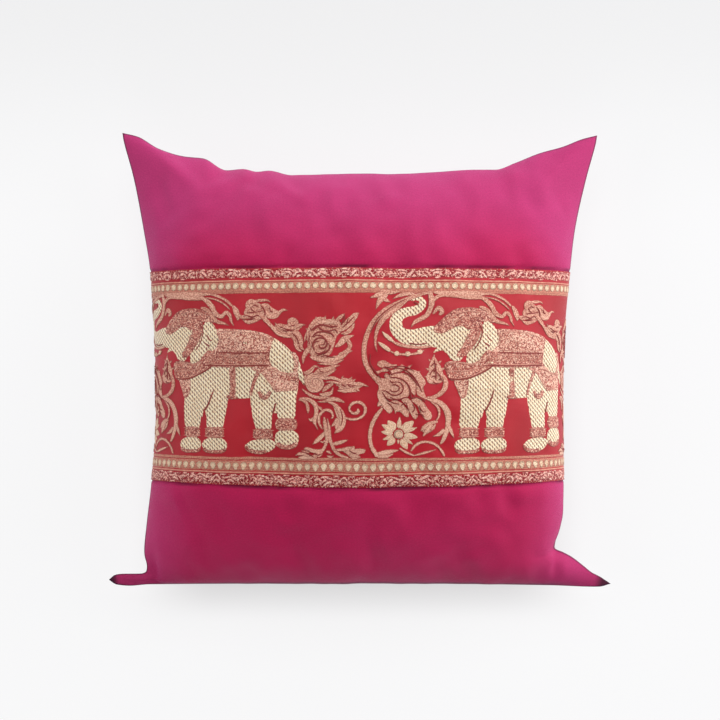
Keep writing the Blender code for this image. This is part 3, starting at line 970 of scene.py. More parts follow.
@dataclass(frozen=True)
class SatinFinish:
    """The band's red satin ground with its fine ribs."""

    red: Rgb = linear(186, 16, 36)
    deep: Rgb = linear(166, 10, 28)
    broad_scale: float = 12.0
    broad_range: Span = (0.3, 0.7)
    grain_least: float = 0.86
    grain_scale: float = 1400.0
    grain_share: float = 0.28
    rib: float = 0.00062
    pick: float = 0.000992
    pick_share: float = 0.6
    depth: float = 0.00004
    roughness: float = 0.50
    specular: float = 0.35
    sheen: float = 0.12
    sheen_roughness: float = 0.40
    sheen_tint: Rgb = (0.95, 0.50, 0.65)

    def material(self) -> bpy.types.Material:
        """Makes the node material."""
        nodes = Nodes("red_satin_ground")
        weave = nodes.uv("cloth")
        u, v, _ = nodes.axes(weave)
        broad = nodes.noise(nodes.place(), self.broad_scale, 2.0)
        colour = nodes.mix(nodes.step(broad, *self.broad_range), self.red, self.deep)
        grain = nodes.times(nodes.noise(weave, self.grain_scale, 1.0), self.grain_share)
        colour = nodes.shade(colour, nodes.plus(self.grain_least, grain))
        picks = nodes.times(nodes.ripple(v, self.pick), self.pick_share)
        height = nodes.plus(nodes.ripple(u, self.rib), picks)
        nodes.set(Socket.SHEEN_ROUGHNESS, self.sheen_roughness)
        nodes.set(Socket.SHEEN_TINT, self.sheen_tint)
        return nodes.surface(colour, height, self.depth, self.roughness, self.specular, self.sheen)


@dataclass(frozen=True)
class FloatFinish:
    """Cream floats of weft that slant down to the right, cut by upright rows of dark ties."""

    cream: Rgb = linear(238, 208, 170)
    light: Rgb = linear(255, 240, 210)
    speck_scale: float = 620.0
    speck_range: Span = (0.40, 0.60)
    gap: Rgb = linear(150, 92, 68)
    gap_range: Span = (0.05, 0.75)
    gap_share: float = 0.85
    tie: Rgb = linear(84, 40, 30)
    tie_range: Span = (0.85, 1.45)
    tie_share: float = 0.80
    rim: Rgb = linear(196, 118, 96)
    rim_mm: Span = (0.7, 0.0)
    rim_share: float = 0.6
    wander_scale: float = 130.0
    wander: float = 0.0016
    slant_pitch: float = 0.00385
    column_pitch: float = 0.00224
    column_share: float = 0.62
    depth: float = 0.00016
    roughness: float = 0.50
    specular: float = 0.40
    sheen: float = 0.15

    def material(self) -> bpy.types.Material:
        """Makes the node material: dark where a slanting wave and an upright one are both low."""
        nodes = Nodes("cream_weft_floats")
        weave = nodes.uv("cloth")
        u, v, _ = nodes.axes(weave)
        wander = nodes.times(nodes.noise(weave, self.wander_scale, 1.0), self.wander)
        slant = nodes.ripple(nodes.plus(u, nodes.plus(v, wander)), self.slant_pitch)
        column = nodes.ripple(nodes.plus(u, wander), self.column_pitch)
        wave = nodes.plus(slant, nodes.times(column, self.column_share))
        speck = nodes.noise(weave, self.speck_scale, 1.0)
        colour = nodes.mix(nodes.step(speck, *self.speck_range), self.cream, self.light)
        groove = nodes.step(wave, *self.gap_range)
        colour = nodes.paint(colour, self.gap, groove, self.gap_share)
        colour = nodes.paint(colour, self.tie, nodes.step(wave, *self.tie_range), self.tie_share)
        edge, _, _ = nodes.axes(nodes.uv("stroke"))
        colour = nodes.paint(colour, self.rim, nodes.step(edge, *self.rim_mm), self.rim_share)
        height = nodes.minus(1.0, groove)
        return nodes.surface(colour, height, self.depth, self.roughness, self.specular, self.sheen)


@dataclass(frozen=True)
class SpeckleFinish:
    """Figured cloth on the animals: specks of cream, rose and dark weft in small curls."""

    name: str
    cream_share: float
    dark_share: float
    cream: Rgb = linear(240, 196, 172)
    cream_softness: float = 0.14
    rose: Rgb = linear(190, 108, 92)
    dark: Rgb = linear(134, 60, 54)
    dark_range: Span = (0.88, 1.06)
    cell: float = 1150.0
    cell_share: float = 0.76
    curl: float = 760.0
    curl_range: Span = (0.36, 0.64)
    rim_mm: Span = (1.0, 0.2)
    rim_share: float = 0.8
    depth: float = 0.00012
    roughness: float = 0.58
    specular: float = 0.30
    sheen: float = 0.12

    def material(self) -> bpy.types.Material:
        """Makes the node material: each small cell takes one of three weft colours."""
        nodes = Nodes(self.name)
        weave = nodes.uv("cloth")
        curls = nodes.step(nodes.noise(weave, self.curl, 1.5), *self.curl_range)
        cells = nodes.times(nodes.cells(weave, self.cell), self.cell_share)
        pick = nodes.plus(cells, nodes.times(curls, 1.0 - self.cell_share))
        soft = self.cream_softness
        light = nodes.step(pick, self.cream_share + soft, self.cream_share - soft)
        dark = nodes.step(pick, *(end - self.dark_share for end in self.dark_range))
        colour = nodes.mix(dark, nodes.mix(light, self.rose, self.cream), self.dark)
        edge, _, _ = nodes.axes(nodes.uv("stroke"))
        colour = nodes.paint(colour, self.dark, nodes.step(edge, *self.rim_mm), self.rim_share)
        height = nodes.minus(1.0, pick)
        return nodes.surface(colour, height, self.depth, self.roughness, self.specular, self.sheen)


@dataclass(frozen=True)
class ScrollFinish:
    """Rose-gold weft of the scrolls, with dark outlines that follow each stroke."""

    name: str
    gold: Rgb = linear(190, 112, 92)
    light: Rgb = linear(244, 194, 168)
    outline: Rgb = linear(136, 36, 36)
    speck_scale: float = 760.0
    speck_range: Span = (0.38, 0.62)
    speck_share: float = 0.75
    low_light: float = 0.0
    low_reach: Span = (0.095, 0.030)
    low_edge_mm: Span = (0.3, 1.6)
    contour_mm: float = 1.9
    contour_share: float = 0.28
    contour_range: Span = (-0.35, -0.95)
    contour_edge_mm: Span = (0.9, 1.3)
    wander_scale: float = 180.0
    wander_mm: float = 0.9
    outline_mm: float = 0.85
    outline_share: float = 0.85
    breaks: float = 0.0
    break_softness: float = 0.12
    break_share: float = 0.75
    pick: float = 0.0006
    pick_share: float = 0.4
    depth: float = 0.00010
    roughness: float = 0.56
    specular: float = 0.32
    sheen: float = 0.12

    def material(self) -> bpy.types.Material:
        """Makes the node material: a rim and a dark line at each even distance in from it."""
        nodes = Nodes(self.name)
        weave = nodes.uv("cloth")
        edge, tone, _ = nodes.axes(nodes.uv("stroke"))
        _, v, _ = nodes.axes(weave)
        speck = nodes.noise(weave, self.speck_scale, 1.0)
        specks = nodes.times(nodes.step(speck, *self.speck_range), self.speck_share)
        share = nodes.plus(specks, nodes.times(tone, 1.0 - self.speck_share))
        colour = nodes.mix(share, self.gold, self.light)
        if self.low_light:
            low = nodes.times(nodes.step(v, *self.low_reach), nodes.step(edge, *self.low_edge_mm))
            colour = nodes.paint(colour, self.light, low, self.low_light)
        wander = nodes.times(nodes.minus(nodes.noise(weave, self.wander_scale, 1.0), 0.5), self.wander_mm)
        contour = nodes.step(nodes.ripple(nodes.plus(edge, wander), self.contour_mm), *self.contour_range)
        contour = nodes.times(contour, nodes.step(edge, *self.contour_edge_mm))
        colour = nodes.paint(colour, self.outline, contour, self.contour_share)
        near = nodes.step(edge, self.outline_mm, 0.2 * self.outline_mm)
        colour = nodes.paint(colour, self.outline, near, self.outline_share)
        if self.breaks:
            cells = nodes.cells(weave, self.speck_scale)
            picks = nodes.step(cells, self.breaks, self.breaks - self.break_softness)
            colour = nodes.paint(colour, self.outline, picks, self.break_share)
        height = nodes.plus(speck, nodes.times(nodes.ripple(v, self.pick), self.pick_share))
        height = nodes.minus(height, contour)
        return nodes.surface(colour, height, self.depth, self.roughness, self.specular, self.sheen)


@dataclass(frozen=True)
class CurlFinish:
    """The strips along the band's long edges: a tangle of fine pale curls on deep red."""

    red: Rgb = linear(150, 16, 32)
    dark: Rgb = linear(118, 16, 28)
    dark_range: Span = (0.55, 0.95)
    pink: Rgb = linear(214, 120, 108)
    cream: Rgb = linear(246, 190, 170)
    scale: float = 330.0
    line: float = 0.055
    cell: float = 1000.0
    break_range: Span = (0.02, 0.30)
    depth: float = 0.00018
    roughness: float = 0.56
    specular: float = 0.32
    sheen: float = 0.12

    def material(self) -> bpy.types.Material:
        """Makes the node material: pale along the winding line where a fine noise is near its middle."""
        nodes = Nodes("edge_curls")
        weave = nodes.uv("cloth")
        near = nodes.size(nodes.minus(nodes.noise(weave, self.scale, 1.0), 0.5))
        line = nodes.step(near, self.line, 0.45 * self.line)
        picks = nodes.cells(weave, self.cell)
        tint = nodes.mix(picks, self.pink, self.cream)
        ground = nodes.mix(nodes.step(picks, *self.dark_range), self.red, self.dark)
        share = nodes.times(line, nodes.step(picks, *self.break_range))
        colour = nodes.mix(share, ground, tint)
        return nodes.surface(colour, share, self.depth, self.roughness, self.specular, self.sheen)


@dataclass(frozen=True)
class PaperFinish:
    """The pale floor. It glows a little, which is painted light, and a painted shade greys its far end.

    The glow is taken away where the cushion lies and just below its lower edge, as a painted
    shadow of the cushion there.
    """

    white: Rgb = linear(101, 101, 102)
    glow_white: Rgb = (1.0, 1.0, 1.005)
    glow: float = 0.83
    far: float = 0.90
    painted_far_shade: Span = (0.10, 0.36)
    shadow_under_x: Span = (0.185, 0.150)
    shadow_under_low: Span = (-0.213, -0.196)
    shadow_top: Span = (0.140, 0.100)
    shadow_x: Span = (0.215, 0.130)
    shadow_low: Span = (-0.246, -0.200)
    shadow_share: float = 0.24
    mottle_least: float = 0.99
    mottle_scale: float = 1.5
    mottle_share: float = 0.015
    grain_scale: float = 700.0
    depth: float = 0.00005
    roughness: float = 0.85
    specular: float = 0.15

    def material(self) -> bpy.types.Material:
        """Makes the node material: near white with a faint mottle and grain."""
        nodes = Nodes("pale_floor")
        place = nodes.place()
        x, y, _ = nodes.axes(place)
        # Painted shade: the floor greys towards its far end.
        painted_far_shade = nodes.times(nodes.step(y, *self.painted_far_shade), 1.0 - self.far)
        mottle = nodes.times(nodes.noise(place, self.mottle_scale, 2.0), self.mottle_share)
        shade = nodes.times(nodes.minus(1.0, painted_far_shade), nodes.plus(self.mottle_least, mottle))
        # Painted shadow: the glow is taken away under the cushion and just below its lower edge.
        aside = nodes.size(x)
        under = nodes.times(nodes.step(aside, *self.shadow_under_x), nodes.step(y, *self.shadow_under_low))
        near = nodes.times(nodes.step(aside, *self.shadow_x), nodes.step(y, *self.shadow_low))
        dark = nodes.maths("MAXIMUM", under, nodes.times(near, self.shadow_share))
        lit = nodes.minus(1.0, nodes.times(dark, nodes.step(y, *self.shadow_top)))
        nodes.set(Socket.GLOW_COLOUR, nodes.shade(self.glow_white, shade))
        nodes.set(Socket.GLOW, nodes.times(lit, self.glow))
        grain = nodes.noise(place, self.grain_scale, 1.0)
        return nodes.surface(nodes.shade(self.white, shade), grain, self.depth, self.roughness, self.specular)


# Motifs in the band's flat measure in mm. A stroke's rows are p, q and half width, an outline's p and q.
UNIT = 242.2
ELEPHANT_TILES = (-UNIT, 0.0)

BARREL_TOP: Outline = (
    (92, 136), (104, 137), (118, 133), (132, 132), (146, 131.5), (158, 129.5), (168, 126), (177, 120.5),
    (184, 114), (189, 106),
)
BARREL_BOTTOM: Outline = (
    (90, 96), (100, 92), (112, 86), (128, 74), (139, 73.2), (150, 74), (160, 76), (170, 78), (180, 80),
    (188, 86),
)
SKIN_STROKES: tuple[tuple[Row, ...], ...] = (
    ((96, 95, 8.0), (96, 82, 10.2), (94.8, 70, 10.2), (93.8, 60, 9.8), (92.6, 50, 9.2), (92.0, 44, 9.2)),
    ((121, 95, 8.0), (120, 84, 9.6), (119, 72, 10.0), (117.6, 62, 9.4), (116.4, 52, 8.6), (116, 44, 8.4)),
    ((158, 94, 9), (158.6, 82, 10.6), (159.4, 70, 11.0), (159.4, 61, 9.4), (160, 52, 8.2), (160, 44, 8.2)),
    ((180.5, 94, 8), (180, 82, 9.4), (179.8, 72, 9.6), (180.2, 64, 8.8), (180.6, 54, 8.6)),
    ((83, 124, 10.6), (73, 125, 10.2), (63, 126, 9.6), (53, 125.6, 8.5), (44, 125.0, 7.3), (36.6, 126.6, 6.5),
     (31.4, 131, 6.0), (30, 137.4, 5.8), (32.4, 143.2, 5.0), (38.4, 146.4, 4.4), (45.4, 147.8, 4.2),
     (50.2, 150.4, 3.8), (52.8, 154.2, 3.2), (51, 157.8, 2.5), (46.4, 158.6, 2.0), (42.8, 156.6, 1.3)),
    ((189.5, 110, 0.5), (190, 104, 1.6), (191.2, 97, 2.6), (193.6, 90.5, 2.5), (195.4, 84.5, 0.3)),
    ((62, 112.4, 0.3), (66.4, 115.4, 1.8), (72, 117, 2.0), (77, 117, 1.4)),
)
SKIN_BLOBS: tuple[Outline, ...] = (
    ((66, 117), (66, 129), (69, 138), (78, 142), (89, 139), (94, 131), (93, 121), (90, 112.5), (86, 106),
     (80.5, 105.4), (76.4, 107.6), (74.4, 111), (70.4, 114)),
    ((88, 94), (98, 98.5), (112, 101), (124, 103), (130.4, 97), (130.6, 84), (127.6, 75), (120, 67),
     (113, 61), (109.4, 57), (107.2, 62), (106.2, 66), (105.2, 62), (103.4, 57), (99, 62), (94, 68), (87, 76),
     (81.6, 83), (80.6, 89)),
    ((149, 98), (160, 101), (172, 101), (183, 99), (190, 92), (189.6, 78), (186, 70), (178, 64), (170, 61.4),
     (163, 64), (154, 70), (148.5, 79)),
    ((79.6, 33.6), (82, 38.4), (90, 40.6), (98, 40.4), (102.4, 37), (102.4, 32), (98, 28.4), (90, 27.8),
     (82.6, 29)),
    ((103.4, 33.6), (106.6, 38.6), (114, 40.6), (122.6, 40.4), (127.4, 36.6), (127.4, 31.6), (123, 28.4),
     (114.5, 27.8), (107, 29)),
    ((143.4, 32.6), (148, 37.4), (156, 39.6), (164, 40), (170.4, 37), (169.6, 31.8), (164, 28.2), (155, 27.4),
     (147, 28.6)),
    ((170, 40), (172, 45.6), (179, 48.2), (186, 47.4), (190.6, 43), (190.4, 37), (185, 33), (176, 32),
     (170.8, 34.6)),
)
EAR: Outline = (
    (106, 138.6), (111, 139.2), (115.6, 135.6), (118.2, 129), (117.4, 121.5), (113.4, 116), (107.6, 113.4),
    (102.6, 109.4), (99, 104.8), (94.4, 105.2), (92.4, 109.4), (96.4, 113.4), (100.4, 119), (103, 126),
    (104.6, 133),
)
RUMP: Outline = (
    (168.6, 123), (172, 122.4), (178.4, 118.4), (183.4, 113.4), (186, 107), (185.4, 99.4), (182.4, 94.4),
    (177.6, 97.6), (170, 102), (165.6, 106), (166.2, 113.6),
)
CLOTH_BLOBS: tuple[Outline, ...] = (
    ((113, 113.4), (117.6, 118), (119.4, 125), (117.4, 132.2), (126, 132.8), (140, 132.2), (152, 131),
     (162, 128.6), (170, 124.4), (168, 118), (166.4, 112), (150, 111.6), (132, 111.8), (120, 112)),
    ((80, 89.4), (91.4, 90.4), (92, 82), (90.4, 76), (86, 73.6), (82.6, 80)),
    ((148, 99), (158, 100.5), (168, 101.5), (176, 97), (184, 95.6), (190, 97), (190.6, 89), (189.4, 81),
     (183, 80), (176.6, 79.6), (171, 79.4), (166.4, 84.6), (161.4, 90.4), (157.4, 96.4)),
    ((184.6, 113), (188.6, 111.6), (191, 104), (190, 96.6), (186, 96.6), (187, 104)),
)
STRAP_BLOBS: tuple[Outline, ...] = (
    ((61, 131), (66, 138), (72, 143.6), (79, 148.6), (88, 150.8), (98, 150.8), (107, 148.2), (113, 143.8),
     (118, 138), (112, 139.2), (106, 140), (101, 138), (97, 133.4), (92, 131.4), (87, 134.4), (81, 134),
     (75, 131), (68, 128.4)),
    ((98, 138), (103.4, 139), (105, 134), (102.6, 127), (99.4, 120.4), (94.6, 114.4), (90, 110), (84.4, 108),
     (82, 111), (86.4, 117.4), (90.4, 124.6), (93.6, 131.6)),
    ((101, 103.6), (103.6, 109.6), (109, 115), (114, 113.6), (132, 112.6), (150, 112.4), (167, 112.8),
     (166, 106), (167.4, 100.2), (150, 99.8), (132, 99.6), (118, 100), (110, 101)),
    ((72.4, 97), (72.6, 104), (80, 105.8), (90, 104.6), (97, 104), (104, 106.6), (111, 103), (114, 100.6),
     (108, 96.6), (101, 93.4), (93, 90.4), (84, 89), (76, 89.6)),
)
STRAP_STROKES: tuple[tuple[Row, ...], ...] = (
    ((132.8, 101, 3.4), (132.8, 90, 3.2), (132.6, 80, 3.2), (132.8, 74, 3.4)),
    ((156.6, 98, 2.2), (153, 90, 1.8), (150.4, 83, 1.7), (148.8, 75.4, 1.3)),
    ((155.6, 80.6, 1.4), (158, 76.6, 2.2), (161.4, 74.6, 2.4), (164.6, 77, 2.2), (166.6, 81, 1.4)),
    ((126.6, 75.6, 1.8), (133, 74.6, 1.6), (139, 73.8, 0.4)),
    ((70, 131, 1.6), (76, 136.4, 1.8), (83, 137.4, 1.4)),
)
BANDS: tuple[tuple[Row, ...], ...] = (
    ((83.8, 44.8, 5.2), (93, 44.8, 5.3), (101.8, 44.8, 5.2)),
    ((106.6, 44.8, 5.2), (116, 44.8, 5.3), (125.6, 44.8, 5.2)),
    ((150.4, 44, 5.0), (160, 44, 5.2), (169, 44, 5.0)),
    ((170.6, 52.4, 5.6), (180, 52.4, 5.8), (190, 52.4, 5.6)),
    ((80.8, 31.4, 1.6), (84, 28.8, 1.7), (91, 28.2, 1.7), (99, 28.8, 1.7), (102.4, 31.4, 1.4)),
    ((104.6, 31.4, 1.6), (108, 28.8, 1.7), (115.5, 28.2, 1.7), (123.6, 28.8, 1.7), (127, 31.4, 1.4)),
    ((144, 34, 1.6), (147.4, 29.6, 1.9), (156, 28, 1.9), (163, 29, 1.7)),
    ((171.6, 37, 1.8), (176, 33.6, 2.3), (184, 33.4, 2.3), (190, 37, 1.8)),
)
CREASES: tuple[tuple[Row, ...], ...] = (
    ((115.4, 82, 0.3), (113.4, 76, 0.6), (110.6, 69, 0.8), (106.6, 63, 0.9)),
    ((74.6, 90.6, 0.6), (84, 90.0, 0.9), (93, 91.4, 0.9), (101, 94.4, 0.8), (108, 97.6, 0.7),
     (114, 101.4, 0.5)),
    ((171.6, 71, 0.4), (170, 66, 0.9), (168.6, 61, 0.7)),
    ((104.6, 122, 0.4), (108.4, 119.4, 0.8), (112, 117.8, 0.6)),
    ((108, 128.6, 0.4), (111, 123.6, 0.8), (114.4, 122.6, 0.4)),
    ((107.6, 118, 0.5), (108.4, 114.4, 0.6)),
    ((100.6, 138, 0.5), (104, 133, 0.7), (104.2, 128, 0.6), (101.4, 121, 0.5), (97, 114.6, 0.5)),
    ((118, 113, 0.4), (132, 112.4, 0.6), (150, 112.2, 0.6), (166.4, 112.4, 0.5)),
    ((104, 101.6, 0.4), (118, 101.8, 0.6), (134, 101.6, 0.6), (150, 101.8, 0.6), (166, 101.8, 0.5)),
    ((45, 155.4, 0.5), (47.6, 154.2, 0.9), (49.4, 152.4, 0.5)),
    ((40, 120.6, 0.4), (48, 119.4, 0.6), (57, 120.4, 0.4)),
)
HARNESS_LINES: tuple[tuple[Row, ...], ...] = (
    ((73.4, 96.6, 0.3), (80, 97.2, 0.5), (91, 97.2, 0.5), (100.6, 99.4, 0.5), (109.6, 103, 0.5),
     (113, 107.4, 0.3)),
    ((73.4, 103.2, 0.3), (80, 104.4, 0.5), (90, 103.4, 0.5), (97.6, 102.8, 0.5), (104.4, 105.6, 0.3)),
    ((76.4, 91, 0.3), (84.6, 90.6, 0.5), (93.4, 92.2, 0.5), (101.4, 95.4, 0.5), (110.4, 100, 0.3)),
    ((110, 103.4, 0.3), (120, 102.4, 0.5), (135, 102.2, 0.5), (150, 102.6, 0.5), (165, 102.8, 0.3)),
    ((110, 110.6, 0.3), (120, 110.4, 0.5), (135, 110.2, 0.5), (150, 110.2, 0.5), (165, 110.6, 0.3)),
    ((66, 131.4, 0.3), (73, 138.6, 0.5), (81, 144.6, 0.5), (90, 147.4, 0.55), (100, 147.2, 0.5),
     (108.6, 144.2, 0.3)),
    ((71.6, 131.4, 0.3), (78, 136.8, 0.5), (86.4, 141.6, 0.5), (95, 143.2, 0.5), (104.4, 142, 0.3)),
    ((92, 129, 0.3), (89, 121.6, 0.4), (84.6, 113.4, 0.3)),
    ((101.4, 134, 0.3), (100.4, 127.6, 0.4), (96.6, 120.6, 0.4), (91, 113.6, 0.3)),
    ((120, 114.4, 0.3), (121.4, 121, 0.5), (120.4, 127.6, 0.5), (119.4, 130.6, 0.3)),
    ((121, 130.6, 0.3), (132, 130.4, 0.5), (146, 129.4, 0.5), (158, 127.2, 0.5), (166.4, 122.6, 0.3)),
    ((120.4, 115, 0.3), (132, 114.2, 0.5), (148, 114.2, 0.5), (164.4, 114.4, 0.3)),
    ((152, 98.4, 0.3), (160.4, 94, 0.5), (166.4, 86.6, 0.5), (173, 82, 0.5), (181, 82, 0.5),
     (187.6, 84, 0.3)),
    ((160, 99, 0.3), (170, 98, 0.5), (178, 94.6, 0.5), (188, 94.4, 0.3)),
    ((131.4, 98, 0.3), (131.4, 88, 0.4), (131.4, 77, 0.3)), ((134.4, 98, 0.3), (134.4, 88, 0.4),
                                                             (134.4, 77, 0.3)),
    ((82.6, 48.2, 0.3), (93, 48.2, 0.45), (102.6, 48.2, 0.3)), ((82.6, 41.6, 0.3), (93, 41.6, 0.45),
                                                                (102.6, 41.6, 0.3)),
    ((106, 48.2, 0.3), (116, 48.2, 0.45), (126, 48.2, 0.3)), ((106, 41.6, 0.3), (116, 41.6, 0.45),
                                                              (126, 41.6, 0.3)),
    ((150, 47.2, 0.3), (160, 47.4, 0.45), (170, 47.2, 0.3)), ((150, 40.8, 0.3), (160, 41, 0.45),
                                                              (170, 40.8, 0.3)),
    ((171.6, 56.2, 0.3), (180, 56.4, 0.45), (189, 56.2, 0.3)), ((171.6, 48.8, 0.3), (180, 48.8, 0.45),
                                                                (189, 48.8, 0.3)),
)
ROSETTES: Outline = (
    (127, 122.4), (136, 122.6), (145, 122), (154, 120.8), (162, 118.6), (76, 100.4), (84, 100.8), (92, 100.4),
    (100, 102.4), (79, 140.2), (87, 144.6), (96, 145.2), (172, 89.4), (180, 88), (165, 96),
)
TUSK_TIPS: tuple[tuple[Row, ...], ...] = (
    ((18.2, 130.6, 0.4), (21, 127.4, 1.5), (25, 123.8, 1.8), (28.4, 121.4, 0.8)),
    ((14.6, 121.6, 0.4), (18, 119, 1.7), (22, 116, 2.0), (25.4, 113.6, 1.3)),
)
GARLANDS: tuple[tuple[Row, ...], ...] = (
    ((26.4, 122.4, 0.8), (31, 119.8, 1.5), (38, 117.8, 1.5), (46, 116.8, 1.3), (54, 117, 1.3),
     (61, 118, 0.6)),
    ((25, 113.6, 0.8), (30, 111.6, 1.1), (36, 110.9, 1.1), (42, 110.9, 1.1), (48, 112, 1.1),
     (54.6, 114.6, 0.7)),
)
PEARLS: tuple[tuple[Row, ...], ...] = (
    ((28.4, 112.6, 1.9), (30.6, 111.7, 2.3), (33.0, 111.2, 1.9)),
    ((37.4, 111.2, 2.0), (40, 111.3, 2.4), (42.6, 111.4, 2.0)),
    ((47.4, 112.6, 1.9), (50, 113.0, 2.2), (52.8, 113.8, 1.8)),
)
